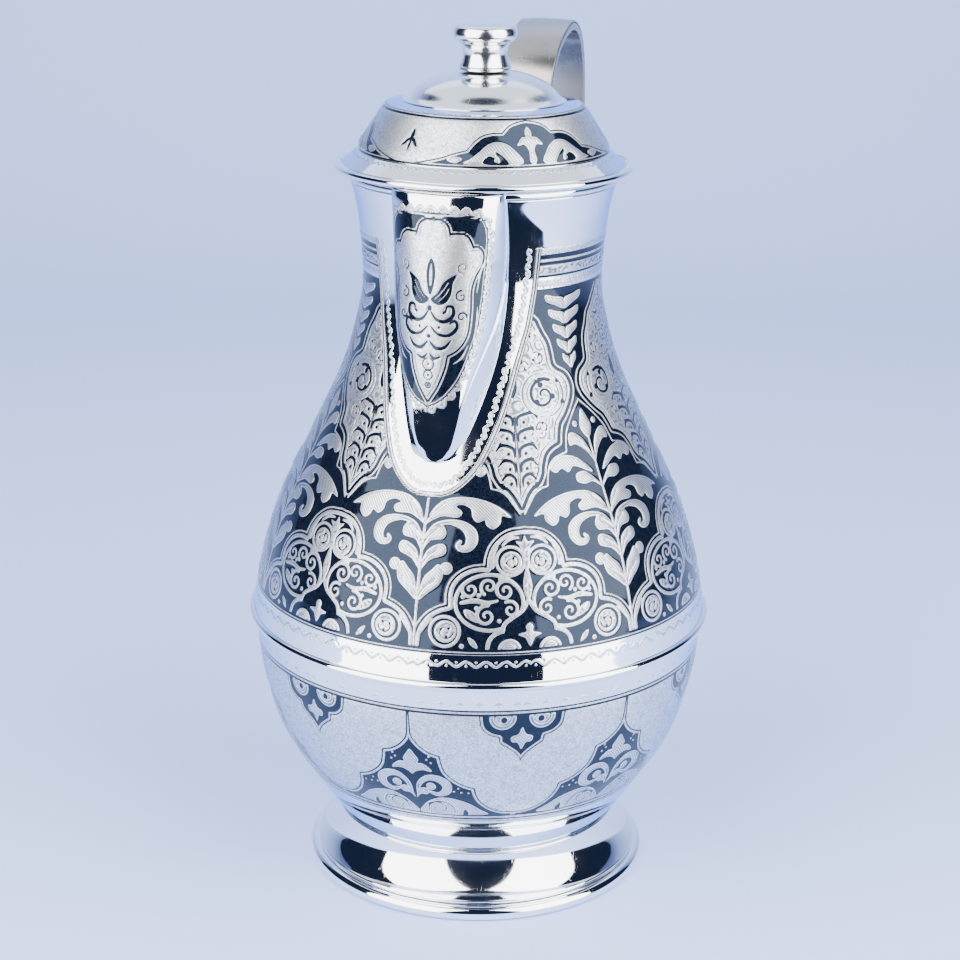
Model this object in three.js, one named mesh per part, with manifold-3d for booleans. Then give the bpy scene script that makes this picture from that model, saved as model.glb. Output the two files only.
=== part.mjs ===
// Covered coffee pot of silver: pear body in two raised shells, beak spout, pedestal foot,
// hollow strap handle and a lift-off domed lid. Millimetres, +Z up. The beak points to -Y and the
// handle to +Y. Pieces are drawn about the pot's own axis, and at the end all of them move together
// so that the origin is the middle of the whole pot's base.
import * as THREE from 'three';
import * as BufferGeometryUtils from 'three/addons/utils/BufferGeometryUtils.js';
import Module from 'manifold-3d';

const wasm = await Module();
wasm.setup();

// ---------------------------------------------------------------- driving dimensions
const GAP = 0.3; // solder or resting gap between two pieces
const WALL = 1.2; // sheet of the body, beak and foot
const TURNS = 40; // facets round a large turned piece
const SMALL_TURNS = 24; // facets round a small turned piece

const BELLY_R = 80.9; // outside of the body at the seam
const SEAM_Z = 96.9; // height of the seam between the two shells
const NECK_R = 41.3; // narrowest outside radius of the neck
const LIP_R = 45.4; // outside of the body at the mouth
const MOUTH_Z = 250.6; // height of the body's top edge
const NECK_Z = SEAM_Z + (MOUTH_Z - SEAM_Z) * 0.7944; // height of the narrowest neck
const BEAD_WIRE = 1.7; // radius of the belly bead's wire

const FOOT_TOP_R = 49.6; // crease between bowl and foot
const FOOT_TOP_Z = 21.4;
const FOOT_R = 61.7; // outside of the foot's rolled edge
const FOOT_WIRE = 2.6; // radius of the rolled edge's wire
const CREASE_WIRE = 0.7; // radius of the wire in the crease

const RIM_HEIGHT = 2.6; // flat wire band round the mouth
const RIM_PROUD = 1.1; // how far the band stands out from the lip

const BEAK_TIP_Z = SEAM_Z + (MOUTH_Z - SEAM_Z) * 0.4528; // lowest point of the beak
const BEAK_HALF_WIDTH = 19.3; // half the beak's front at the mouth
const BEAK_REACH = 52.4; // beak's front at the mouth, from the axis
const BEAK_TIP_REACH = 57.6; // beak's front at its tip, from the axis
const BEAK_FULLNESS = 2.4; // how far its front bulges between tip and mouth

const BRIM_R = 51; // outside of the lid's rolled edge
const BRIM_WIRE = 1.15; // radius of that wire
const DOME_R = 42.8; // where the dome stands on the brim
const DOME_TOP_R = 33.6; // shoulder of the dome
const DOME_RISE = 15.4; // height of the dome's side
const LID_SHEET = 1.1; // sheet of the lid
const BEZEL_DROP = 14; // how far the bezel drops into the neck
const BEZEL_PLAY = 0.5; // clearance between the bezel and the neck
const CAP_R = 26.1; // smooth disc on the dome
const CAP_RISE = 8.4;
const KNOB_R = 10.9; // widest part of the knob
const KNOB_WAIST_R = 7.6;
const KNOB_HEIGHT = 15.6;
const STUD_R = 2.2;

const STRAP_WIDTH = 20; // handle at its crest
const STRAP_ROOT_WIDTH = 15; // handle where it leaves the neck and joins the shoulder
const STRAP_DEPTH = 4; // whole thickness of the hollow handle
const STRAP_SHEET = 1.1; // sheet of the handle
const HANDLE_BRIM_ROOM = 1.3; // free space between the lid's brim and the handle
const HANDLE_REACH = 106.6; // middle of the strap at its furthest, from the axis
const HANDLE_CREST_Z = MOUTH_Z + 43; // middle of the strap at its crest
const STRAP_STEPS = 36; // straight steps along the strap
const PANEL_FIRST = 13; // steps at which the engraved panel on the strap starts and ends
const PANEL_LAST = 31;
const PANEL_SHEET = 0.9;
const PLATE_SHEET = 1.2; // escutcheons

// ---------------------------------------------------------------- derived places
const LID_SEAT_Z = MOUTH_Z + RIM_HEIGHT + GAP; // underside of the bezel's flange
const BRIM_Z = LID_SEAT_Z + 1.6; // middle of the brim's rolled edge
const DOME_FOOT_Z = BRIM_Z + 5.3; // where the dome stands on the brim
const SHOULDER_Z = DOME_FOOT_Z + DOME_RISE;
const CAP_FOOT_Z = SHOULDER_Z + 2.6;
const CAP_TOP_Z = CAP_FOOT_Z + CAP_RISE;
const HANDLE_TOP_Z = MOUTH_Z - 17.6; // where the handle leaves the neck
const HANDLE_LOW_Z = SEAM_Z + (NECK_Z - SEAM_Z) * 0.3; // where it joins the shoulder
const PANEL_SHARE = 0.36; // half the engraved panel's width, as a share of the strap's

const SILVER = { color: 0xd9dce2, roughness: 0.12, metalness: 1.0 };

// ---------------------------------------------------------------- helpers
const finish = (over = {}) => new THREE.MeshStandardMaterial({ ...SILVER, ...over });

const v2 = (points) => points.map(([x, y]) => new THREE.Vector2(x, y));

/** A smooth outline through [radius, height] points, as count + 1 points. */
const smooth = (points, count) => new THREE.SplineCurve(v2(points)).getPoints(count);

/** A geometry as a manifold solid. */
function solid(geometry) {
  const bare = geometry.clone();
  bare.deleteAttribute('normal');
  bare.deleteAttribute('uv');
  const merged = BufferGeometryUtils.mergeVertices(bare, 1e-4);
  const mesh = new wasm.Mesh({
    numProp: 3,
    vertProperties: new Float32Array(merged.attributes.position.array),
    triVerts: new Uint32Array(merged.index.array),
  });
  return new wasm.Manifold(mesh);
}

/** A manifold solid as a geometry. */
function geometryOf(shape) {
  const mesh = shape.getMesh();
  const geometry = new THREE.BufferGeometry();
  geometry.setAttribute('position', new THREE.BufferAttribute(mesh.vertProperties, 3));
  geometry.setIndex(new THREE.BufferAttribute(mesh.triVerts, 1));
  return geometry;
}

/** Turns an outline of [radius, height] points about Z. It starts and ends on the axis or closes. */
function turned(outline, turns = TURNS) {
  const points = outline.map((p) => new THREE.Vector2(p.x, p.y));
  let area = 0;
  points.forEach((p, i) => {
    const q = points[(i + 1) % points.length];
    area += p.x * q.y - q.x * p.y;
  });
  if (area < 0) points.reverse();
  const onAxis = points[0].x === 0 && points.at(-1).x === 0;
  if (!onAxis) points.push(points[0].clone());
  const geometry = new THREE.LatheGeometry(points, turns);
  geometry.rotateX(Math.PI / 2);
  return geometry;
}

/** An outline moved sideways, to its left when the distance is positive. */
function offset(points, distance) {
  return points.map((p, i) => {
    const before = points[Math.max(i - 1, 0)];
    const after = points[Math.min(i + 1, points.length - 1)];
    const along = after.clone().sub(before).normalize();
    return new THREE.Vector2(p.x - along.y * distance, p.y + along.x * distance);
  });
}

/** A sheet of even thickness turned about Z. The outline runs upwards, and the sheet is inside it. */
function turnedSheet(outline, sheet, turns = TURNS) {
  const [low, high] = [outline[0].y, outline.at(-1).y];
  const inner = offset(outline, sheet).map((p) => (
    new THREE.Vector2(Math.max(p.x, 0), THREE.MathUtils.clamp(p.y, low, high))));
  return turned([...outline, ...inner.reverse()], turns);
}

/** A ring of round wire. */
function wireRing(radius, height, wire, turns = TURNS) {
  const geometry = new THREE.TorusGeometry(radius, wire, 8, turns);
  geometry.translate(0, 0, height);
  return geometry;
}

/** A closed body through rings of as many points each, with flat ends, facing outwards. */
function loft(rings) {
  const count = rings[0].length;
  const positions = rings.flat().flatMap((p) => [p.x, p.y, p.z]);
  const index = [];
  for (let r = 0; r < rings.length - 1; r += 1) {
    for (let i = 0; i < count; i += 1) {
      const j = (i + 1) % count;
      const [a, b] = [r * count + i, r * count + j];
      index.push(a, b, b + count, a, b + count, a + count);
    }
  }
  const face = THREE.ShapeUtils.triangulateShape(flat(rings[0]), []);
  const last = (rings.length - 1) * count;
  face.forEach(([a, b, c]) => index.push(a, c, b));
  const lastFace = THREE.ShapeUtils.triangulateShape(flat(rings.at(-1)), []);
  lastFace.forEach(([a, b, c]) => index.push(last + a, last + b, last + c));
  const corner = (i) => new THREE.Vector3().fromArray(positions, index[i] * 3);
  let volume = 0;
  for (let i = 0; i < index.length; i += 3) {
    volume += corner(i).dot(corner(i + 1).cross(corner(i + 2)));
  }
  if (volume < 0) index.reverse();
  const geometry = new THREE.BufferGeometry();
  geometry.setAttribute('position', new THREE.Float32BufferAttribute(positions, 3));
  geometry.setIndex(index);
  return geometry;
}

/** A flat ring of 3-D points as 2-D points in its own plane, turning the same way. */
function flat(ring) {
  const centre = ring.reduce((sum, p) => sum.add(p), new THREE.Vector3()).divideScalar(ring.length);
  const normal = new THREE.Vector3();
  ring.forEach((p, i) => {
    const q = ring[(i + 1) % ring.length];
    normal.add(p.clone().sub(centre).cross(q.clone().sub(centre)));
  });
  normal.normalize();
  const across = ring[0].clone().sub(centre).normalize();
  const up = normal.clone().cross(across);
  return ring.map((p) => {
    const d = p.clone().sub(centre);
    return new THREE.Vector2(d.dot(across), d.dot(up));
  });
}

// ---------------------------------------------------------------- body outlines
/** Outside of the shoulder and neck, from the seam to the mouth. */
function shoulderOutline(count = 14) {
  const rise = NECK_Z - SEAM_Z;
  const swell = BELLY_R - NECK_R;
  return smooth([
    [BELLY_R, SEAM_Z + 1.2],
    [NECK_R + swell * 0.92, SEAM_Z + rise * 0.156],
    [NECK_R + swell * 0.742, SEAM_Z + rise * 0.34],
    [NECK_R + swell * 0.457, SEAM_Z + rise * 0.532],
    [NECK_R + swell * 0.18, SEAM_Z + rise * 0.726],
    [NECK_R + swell * 0.028, SEAM_Z + rise * 0.9],
    [NECK_R, NECK_Z + 3],
    [NECK_R + (LIP_R - NECK_R) * 0.42, MOUTH_Z - 11],
    [LIP_R, MOUTH_Z],
  ], count);
}

/** Outside of the bowl, from the middle of its bottom to the seam. */
function bowlOutline(count = 14) {
  const drop = SEAM_Z - FOOT_TOP_Z;
  const swell = BELLY_R - FOOT_TOP_R;
  return smooth([
    [0, FOOT_TOP_Z - 7],
    [FOOT_TOP_R * 0.5, FOOT_TOP_Z - 6],
    [FOOT_TOP_R * 0.85, FOOT_TOP_Z - 4],
    [FOOT_TOP_R + 1, FOOT_TOP_Z + 1],
    [FOOT_TOP_R + swell * 0.4, FOOT_TOP_Z + drop * 0.23],
    [FOOT_TOP_R + swell * 0.72, FOOT_TOP_Z + drop * 0.46],
    [FOOT_TOP_R + swell * 0.91, FOOT_TOP_Z + drop * 0.74],
    [BELLY_R - 0.9, SEAM_Z - 1.2],
  ], count);
}

/** The whole body filled in, grown by a distance: what pieces outside the body are cut back by. */
function bodyBlock(grow) {
  const outside = offset([...bowlOutline(), ...shoulderOutline()], -grow);
  outside[0].x = 0;
  outside.push(new THREE.Vector2(LIP_R + grow, MOUTH_Z + 12));
  outside.push(new THREE.Vector2(0, MOUTH_Z + 12));
  return solid(turned(outside));
}

/** Outside radius of the shoulder and neck at a height. */
function bodyRadius(height) {
  const outline = shoulderOutline(64);
  const above = outline.findIndex((p) => p.y >= height);
  const high = outline[Math.max(above, 1)];
  const low = outline[Math.max(above, 1) - 1];
  return low.x + ((high.x - low.x) * (height - low.y)) / (high.y - low.y);
}

// ---------------------------------------------------------------- beak
const BEAK_TOP_Z = MOUTH_Z + RIM_HEIGHT;
const BEAK_LEVELS = 9;
const BEAK_SIDES = 14;

/** Plan of the beak at a share of its height (0 tip, 1 mouth), shrunk by a sheet. */
function beakRing(share, shrink, height) {
  const half = Math.max(BEAK_HALF_WIDTH * Math.sqrt(1 - (1 - share) ** 2) - shrink, 0.25);
  const bulge = BEAK_FULLNESS * Math.sin(Math.PI * share);
  const nose = THREE.MathUtils.lerp(BEAK_TIP_REACH, BEAK_REACH, share) + bulge - shrink;
  const back = NECK_R - 8;
  const power = 2 / THREE.MathUtils.lerp(2.6, 2.1, share);
  const ring = [];
  for (let i = 0; i <= BEAK_SIDES; i += 1) {
    const turn = (Math.PI * i) / BEAK_SIDES;
    const across = Math.sign(Math.cos(turn)) * Math.pow(Math.abs(Math.cos(turn)), power);
    const out = Math.pow(Math.sin(turn), power);
    ring.push(new THREE.Vector3(half * across, -(back + (nose - back) * out), height));
  }
  return ring.reverse();
}

/** The beak filled in, shrunk by a distance, with its mouth carried up by a length. */
function beakBlock(shrink, extra = 0) {
  const rings = [];
  for (let i = 0; i <= BEAK_LEVELS; i += 1) {
    const share = (i / BEAK_LEVELS) ** 2;
    rings.push(beakRing(share, shrink, BEAK_TIP_Z + (BEAK_TOP_Z - BEAK_TIP_Z) * share));
  }
  if (extra > 0) rings.push(beakRing(1, shrink, BEAK_TOP_Z + extra));
  return solid(loft(rings));
}

function spoutBeak() {
  return geometryOf(beakBlock(0).subtract(beakBlock(WALL, 4)).subtract(bodyBlock(GAP)));
}

// ---------------------------------------------------------------- body pieces
function upperBody() {
  const shell = solid(turnedSheet(shoulderOutline(), WALL));
  return geometryOf(shell.subtract(beakBlock(WALL + 1.2, 4)));
}

function lowerBowl() {
  return turnedSheet(bowlOutline(), WALL);
}

function bellyBead() {
  const wire = solid(wireRing(BELLY_R - 0.2, SEAM_Z, BEAD_WIRE));
  return geometryOf(wire.subtract(bodyBlock(GAP)));
}

function neckRim() {
  const inner = LIP_R - WALL - 0.2;
  const outer = LIP_R + RIM_PROUD;
  const low = MOUTH_Z + GAP;
  const high = MOUTH_Z + RIM_HEIGHT;
  const band = solid(turned(v2([[inner, low], [outer, low], [outer, high], [inner, high]])));
  return geometryOf(band.subtract(beakBlock(-GAP, 4)));
}

// ---------------------------------------------------------------- foot
function footRing() {
  const top = new THREE.Vector2(FOOT_TOP_R + 0.6, FOOT_TOP_Z - 0.6);
  const bend = new THREE.Vector2(FOOT_TOP_R + 2, FOOT_WIRE * 2 + 5);
  const low = new THREE.Vector2(FOOT_R - FOOT_WIRE - 0.6, FOOT_WIRE * 2 + GAP + 1.2);
  const cove = new THREE.QuadraticBezierCurve(low, bend, top).getPoints(5);
  const outside = [new THREE.Vector2(low.x, FOOT_WIRE * 2 + GAP), ...cove];
  const sheet = solid(turned([...outside, ...offset(outside, WALL).reverse()]));
  return geometryOf(sheet.subtract(bodyBlock(GAP)));
}

function footRimWire() {
  const outer = FOOT_R;
  const inner = FOOT_R - 2 * FOOT_WIRE - 1.4;
  const side = new THREE.EllipseCurve(outer - FOOT_WIRE, FOOT_WIRE, FOOT_WIRE, FOOT_WIRE,
    -Math.PI / 2, Math.PI / 2).getPoints(6);
  const corners = v2([[inner, FOOT_WIRE * 2], [inner, 0]]);
  return turned([...side, ...corners]);
}

function footTopWire() {
  const wire = solid(wireRing(FOOT_TOP_R + 1.6, FOOT_TOP_Z + 0.5, CREASE_WIRE));
  return geometryOf(wire.subtract(bodyBlock(GAP)));
}

// ---------------------------------------------------------------- handle
/** Middle line of the strap in the Y-Z plane, from the neck over the crest to the shoulder. */
function handleLine() {
  const close = BRIM_R + HANDLE_BRIM_ROOM + STRAP_DEPTH / 2;
  const crest = HANDLE_CREST_Z;
  const far = HANDLE_REACH;
  const points = [
    [bodyRadius(HANDLE_TOP_Z) - 1, HANDLE_TOP_Z],
    [close - 4, MOUTH_Z - 12],
    [close, MOUTH_Z],
    [close + 0.7, crest - 29],
    [close + 4, crest - 16],
    [close + 12, crest - 6.6],
    [close + 24, crest - 1.2],
    [far - 17.6, crest],
    [far - 8, crest - 4.4],
    [far - 2.4, crest - 13.6],
    [far, crest - 30],
    [far, crest - 53],
    [far - 3.6, crest - 84],
    [far - 11.5, HANDLE_LOW_Z + 46],
    [far - 22, HANDLE_LOW_Z + 19],
    [bodyRadius(HANDLE_LOW_Z) - 1, HANDLE_LOW_Z],
  ];
  return new THREE.CatmullRomCurve3(points.map(([y, z]) => new THREE.Vector3(0, y, z)));
}

/** The strap's width at a share of its length. */
function strapWidth(share) {
  const swell = Math.sin(Math.PI * Math.min(Math.max(share, 0), 1));
  return STRAP_ROOT_WIDTH + (STRAP_WIDTH - STRAP_ROOT_WIDTH) * Math.pow(swell, 0.6);
}

/** A section carried along the strap. The section gives [across, outward] points for a width. */
function alongStrap(section, first = 0, last = STRAP_STEPS) {
  const line = handleLine();
  const rings = [];
  for (let i = first; i <= last; i += 1) {
    const share = i / STRAP_STEPS;
    const middle = line.getPointAt(share);
    const along = line.getTangentAt(share);
    const outward = new THREE.Vector3(0, -along.z, along.y);
    rings.push(section(strapWidth(share)).map(([across, out]) => middle.clone()
      .addScaledVector(outward, out)
      .add(new THREE.Vector3(across, 0, 0))));
  }
  return loft(rings);
}

/** A handle piece cut back to the escutcheons. */
function handlePiece(section) {
  return geometryOf(solid(alongStrap(section)).subtract(bodyBlock(PLATE_SHEET + 2 * GAP)));
}

function handleBack() {
  const high = STRAP_DEPTH / 2;
  const low = high - STRAP_SHEET;
  const edge = high - 0.4;
  return handlePiece((w) => [
    [-w / 2, low], [w / 2, low], [w / 2, edge - 0.1], [w / 4, high], [-w / 4, high], [-w / 2, edge - 0.1],
  ]);
}

function handleLining() {
  const low = -STRAP_DEPTH / 2;
  const floor = low + STRAP_SHEET;
  const high = STRAP_DEPTH / 2 - STRAP_SHEET - GAP;
  return handlePiece((w) => {
    const inner = w / 2 - STRAP_SHEET;
    return [
      [-w / 2, low], [w / 2, low], [w / 2, high], [inner, high],
      [inner, floor], [-inner, floor], [-inner, high], [-w / 2, high],
    ];
  });
}

function handlePanel() {
  const low = STRAP_DEPTH / 2 + GAP;
  const high = low + PANEL_SHEET;
  const section = (w) => {
    const side = w * PANEL_SHARE;
    return [[-side, low], [side, low], [side, high - 0.3], [0, high], [-side, high - 0.3]];
  };
  return alongStrap(section, PANEL_FIRST, PANEL_LAST);
}

/** A curved plate on the body behind a handle's end. */
function escutcheon(height, halfWidth, halfHeight) {
  const pad = new THREE.CylinderGeometry(1, 1, 60, SMALL_TURNS);
  pad.scale(halfWidth, 1, halfHeight);
  pad.translate(0, bodyRadius(height), height);
  const skin = bodyBlock(PLATE_SHEET + GAP).subtract(bodyBlock(GAP));
  return geometryOf(skin.intersect(solid(pad)));
}

// ---------------------------------------------------------------- lid
/** Outside of the lid, from the brim's edge to the middle of the dome. */
function lidOutline() {
  const edge = BRIM_R - 2 * BRIM_WIRE - GAP;
  const side = smooth([
    [DOME_R, DOME_FOOT_Z],
    [DOME_R - 0.9, DOME_FOOT_Z + DOME_RISE * 0.2],
    [DOME_R - 3.5, DOME_FOOT_Z + DOME_RISE * 0.46],
    [DOME_TOP_R + 1.9, DOME_FOOT_Z + DOME_RISE * 0.84],
    [DOME_TOP_R, SHOULDER_Z],
  ], 6);
  return [...v2([[edge, BRIM_Z + 1]]), ...side, ...v2([
    [CAP_R - 4, CAP_FOOT_Z - 0.4],
    [STUD_R + GAP, CAP_FOOT_Z + 0.4],
  ])];
}

function lidDome() {
  return turned([...lidOutline(), ...offset(lidOutline(), LID_SHEET).map((p, i, all) => (
    i === all.length - 1 ? new THREE.Vector2(STUD_R + GAP, p.y) : p)).reverse()]);
}

function lidBezel() {
  const outer = bezelRadius();
  const inner = outer - LID_SHEET;
  const flange = LIP_R + RIM_PROUD - 1;
  const low = LID_SEAT_Z - BEZEL_DROP;
  const high = LID_SEAT_Z + LID_SHEET;
  return turned(v2([
    [inner, low], [outer, low], [outer, LID_SEAT_Z], [flange, LID_SEAT_Z], [flange, high], [inner, high],
  ]));
}

/** Outside of the bezel: the narrowest place that it drops through, less its play. */
function bezelRadius() {
  return bodyRadius(LID_SEAT_Z - BEZEL_DROP) - WALL - BEZEL_PLAY;
}

function lidRimWire() {
  return wireRing(BRIM_R - BRIM_WIRE, BRIM_Z, BRIM_WIRE);
}

function lidCap() {
  const top = smooth([
    [CAP_R, CAP_FOOT_Z + 0.7],
    [CAP_R * 0.82, CAP_FOOT_Z + CAP_RISE * 0.5],
    [CAP_R * 0.55, CAP_FOOT_Z + CAP_RISE * 0.85],
    [KNOB_WAIST_R, CAP_TOP_Z - 0.1],
    [STUD_R + GAP, CAP_TOP_Z],
  ], 6);
  const low = CAP_FOOT_Z + GAP;
  const outside = [new THREE.Vector2(CAP_R, low), ...top];
  const inside = offset(outside, LID_SHEET).filter((p) => p.y > low + 0.3);
  inside.at(-1).x = STUD_R + GAP;
  return turned([...outside, ...inside.reverse(), new THREE.Vector2(CAP_R - LID_SHEET * 1.4, low)]);
}

function knobCollar() {
  const low = CAP_TOP_Z + GAP;
  return turned(v2([
    [STUD_R + GAP, low], [KNOB_WAIST_R + 0.9, low], [KNOB_WAIST_R + 1.2, low + 0.5],
    [KNOB_WAIST_R + 0.9, low + 1], [STUD_R + GAP, low + 1],
  ]), SMALL_TURNS);
}

function lidKnob() {
  const low = CAP_TOP_Z + 1 + 2 * GAP;
  const high = CAP_TOP_Z + KNOB_HEIGHT;
  const side = smooth([
    [KNOB_WAIST_R + 0.8, low],
    [KNOB_WAIST_R, low + 2.6],
    [KNOB_WAIST_R + 0.8, high - 7],
    [KNOB_R - 0.4, high - 5],
    [KNOB_R, high - 3],
    [KNOB_R * 0.86, high - 0.8],
    [KNOB_R * 0.5, high - 0.1],
  ], 12);
  const socket = v2([
    [0, high - 6 + GAP], [STUD_R + GAP, high - 6 + GAP], [STUD_R + GAP, low],
  ]);
  return turned([...socket, ...side, new THREE.Vector2(0, high)], SMALL_TURNS);
}

function knobStud() {
  const low = CAP_FOOT_Z - 7;
  const high = CAP_TOP_Z + KNOB_HEIGHT - 6;
  const stud = new THREE.CylinderGeometry(STUD_R, STUD_R, high - low, 16);
  stud.rotateX(Math.PI / 2);
  stud.translate(0, 0, (low + high) / 2);
  return stud;
}

/** A flat ring round the stud, below a height, with as many sides as asked. */
function studRing(top, thick, radius, sides) {
  const blank = new THREE.CylinderGeometry(radius, radius, thick, sides);
  const bore = new THREE.CylinderGeometry(STUD_R + GAP, STUD_R + GAP, thick * 3, SMALL_TURNS);
  [blank, bore].forEach((shape) => shape.rotateX(Math.PI / 2));
  const ring = geometryOf(solid(blank).subtract(solid(bore)));
  ring.translate(0, 0, top - thick / 2);
  return ring;
}

// ---------------------------------------------------------------- assembly
const UNDER_DOME = CAP_FOOT_Z - LID_SHEET - 0.1; // flat underside of the dome at the stud
const WASHER_THICK = 0.8;

const pot = new THREE.Group();
const lid = new THREE.Group();

/** Adds a named piece to a group. */
function piece(group, name, geometry, material = finish()) {
  const mesh = new THREE.Mesh(geometry, material);
  mesh.name = name;
  group.add(mesh);
}

const engraved = finish({ roughness: 0.28, color: 0xb9bdc6 });
const satin = finish({ roughness: 0.35, color: 0xb8b4ae });

piece(pot, 'upper_body', upperBody(), engraved);
piece(pot, 'lower_bowl', lowerBowl(), engraved);
piece(pot, 'belly_bead', bellyBead());
piece(pot, 'neck_rim', neckRim());
piece(pot, 'spout_beak', spoutBeak(), engraved);
piece(pot, 'foot_ring', footRing());
piece(pot, 'foot_rim_wire', footRimWire());
piece(pot, 'foot_top_wire', footTopWire());
piece(pot, 'handle_lining', handleLining(), satin);
piece(pot, 'handle_back', handleBack(), satin);
piece(pot, 'handle_panel', handlePanel(), engraved);
piece(pot, 'handle_upper_plate', escutcheon(HANDLE_TOP_Z, 11, 8));
piece(pot, 'handle_lower_plate', escutcheon(HANDLE_LOW_Z, 12, 14));
piece(lid, 'lid_dome', lidDome(), engraved);
piece(lid, 'lid_rim_wire', lidRimWire());
piece(lid, 'lid_bezel', lidBezel());
piece(lid, 'lid_cap', lidCap());
piece(lid, 'lid_knob', lidKnob());
piece(lid, 'knob_collar', knobCollar());
piece(lid, 'knob_stud', knobStud());
piece(lid, 'knob_washer', studRing(UNDER_DOME - GAP, WASHER_THICK, 6, SMALL_TURNS));
piece(lid, 'knob_nut', studRing(UNDER_DOME - WASHER_THICK - 2 * GAP, 2.4, 4.2, 6));

const coffeePot = new THREE.Group();
coffeePot.add(pot, lid);

const whole = new THREE.Box3().setFromObject(coffeePot);
const toMiddle = -(whole.min.y + whole.max.y) / 2;
coffeePot.traverse((part) => {
  if (part.isMesh) part.geometry.translate(0, toMiddle, 0);
});

export default coffeePot;
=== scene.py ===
# %% [markdown]
# # A silver coffee pot with a beak
# The pot was raised from sheet silver in two shells, joined at the belly, and then decorated: the
# pattern was cut with gravers, the background filled with niello (a black alloy of silver, copper,
# lead and sulphur, melted into the cuts), and the rest polished. The lid lifts off. This lesson
# rebuilds each piece as a surface worked out with numpy, around a packed engineering model whose
# boxes say where everything goes.

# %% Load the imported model
import math

import bpy
import numpy as np
from mathutils import Euler, Matrix, Vector


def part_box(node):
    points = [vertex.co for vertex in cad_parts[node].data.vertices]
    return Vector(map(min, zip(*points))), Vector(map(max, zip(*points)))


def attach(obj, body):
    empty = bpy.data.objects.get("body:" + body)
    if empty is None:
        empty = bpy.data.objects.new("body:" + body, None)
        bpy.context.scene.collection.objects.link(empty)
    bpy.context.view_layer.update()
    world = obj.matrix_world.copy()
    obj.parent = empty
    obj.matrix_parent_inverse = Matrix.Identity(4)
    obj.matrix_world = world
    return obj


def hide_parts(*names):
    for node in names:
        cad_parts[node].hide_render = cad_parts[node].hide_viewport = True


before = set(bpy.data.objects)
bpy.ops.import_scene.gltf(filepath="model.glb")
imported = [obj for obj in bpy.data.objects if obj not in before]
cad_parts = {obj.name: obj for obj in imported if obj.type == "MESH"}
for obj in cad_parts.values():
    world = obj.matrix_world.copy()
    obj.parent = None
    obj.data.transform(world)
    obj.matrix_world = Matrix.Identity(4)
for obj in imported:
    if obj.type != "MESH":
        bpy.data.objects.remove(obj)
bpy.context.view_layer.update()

MM = 0.001

# %% [markdown]
# ## Measures
# Every height and radius comes from the boxes of the engineering model, in millimetres, so that the
# silver lies exactly where the solids are. The rest are proportions of the smith's work.


# %% Read the boxes
def span(node, axis):
    """Lowest and highest coordinate of an engineering node along one axis, in millimetres."""
    low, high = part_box(node)
    return low[axis] / MM, high[axis] / MM


AXIS_Y = sum(span("belly_bead", 1)) / 2
BELLY_R = span("upper_body", 0)[1]
MOUTH_Z = span("upper_body", 2)[1]
SEAM_Z = sum(span("belly_bead", 2)) / 2
BEAD_R = span("belly_bead", 0)[1]
FOOT_R = span("foot_rim_wire", 0)[1]
FOOT_WIRE = span("foot_rim_wire", 2)[1] / 2
FOOT_TOP_Z = span("foot_top_wire", 2)[1] - 1.2
FOOT_TOP_R = 49.6
NECK_R, NECK_Z, LIP_R = 41.3, 219.0, 45.4
WALL, GAP = 1.2, 0.3
BRIM_R = span("lid_rim_wire", 0)[1]
BRIM_Z = sum(span("lid_rim_wire", 2)) / 2
KNOB_TOP_Z = span("lid_knob", 2)[1]
BEAK_TOP_Z = span("spout_beak", 2)[1]
print(f"belly {BELLY_R:.1f} at {SEAM_Z:.1f}, mouth {MOUTH_Z:.1f}, brim {BRIM_R:.1f} at {BRIM_Z:.1f}")

# %% [markdown]
# ## Lines
# A silversmith checks the body against a card template. Here the template is a smooth line through
# a few points, then stepped off evenly along its own length.


# %% Smooth and even lines
def flowing(points, count=400):
    """Smooth line through points: on each span a cubic whose slope at a point is half the step
    between its two neighbours."""
    knots = np.asarray(points, float)
    spans = len(knots) - 1
    place = np.linspace(0, spans, count)
    i = np.minimum(place.astype(int), spans - 1)
    w = (place - i)[:, None]
    p0, p1, p2, p3 = (knots[np.clip(i + k, 0, spans)] for k in (-1, 0, 1, 2))
    s1, s2 = (p2 - p0) / 2, (p3 - p1) / 2
    return (2 * p1 - 2 * p2 + s1 + s2) * w**3 + (3 * p2 - 3 * p1 - 2 * s1 - s2) * w**2 + s1 * w + p1


def lengths(line):
    """Distance along a line from its first point to each of its points."""
    return np.concatenate([[0], np.cumsum(np.linalg.norm(np.diff(line, axis=0), axis=1))])


def stepped(line, along, at):
    """Points of a line at given distances along it."""
    return np.stack([np.interp(at, along, line[:, k]) for k in range(line.shape[1])], 1)


def evenly(line, count):
    """The same line as count points at equal distances along it."""
    line = np.asarray(line, float)
    along = lengths(line)
    return stepped(line, along, np.linspace(0, along[-1], count))


def unit_rows(steps):
    """Each row divided by its own length."""
    return steps / np.linalg.norm(steps, axis=1)[:, None]


def beside(line, distance):
    """The line moved to its left by a distance: each point steps along the line's own normal."""
    slope = unit_rows(np.gradient(line, axis=0))
    return line + distance * np.stack([-slope[:, 1], slope[:, 0]], 1)


def softened(corners, radius=0.4, steps=5):
    """A polygon with each corner replaced by a parabola arc: it leaves one side at the radius before
    the corner and joins the next side at the radius after it, or at a third of a short side."""
    p = np.asarray(corners, float)
    before, after = np.roll(p, 1, 0) - p, np.roll(p, -1, 0) - p
    arms = []
    for arm in (before, after):
        size = np.linalg.norm(arm, axis=1)[:, None]
        arms.append(p + arm / size * np.minimum(radius, size / 3))
    t = np.linspace(0, 1, steps)[None, :, None]
    arc = (1 - t) ** 2 * arms[0][:, None] + 2 * t * (1 - t) * p[:, None] + t**2 * arms[1][:, None]
    return arc.reshape(-1, 2)


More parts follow.
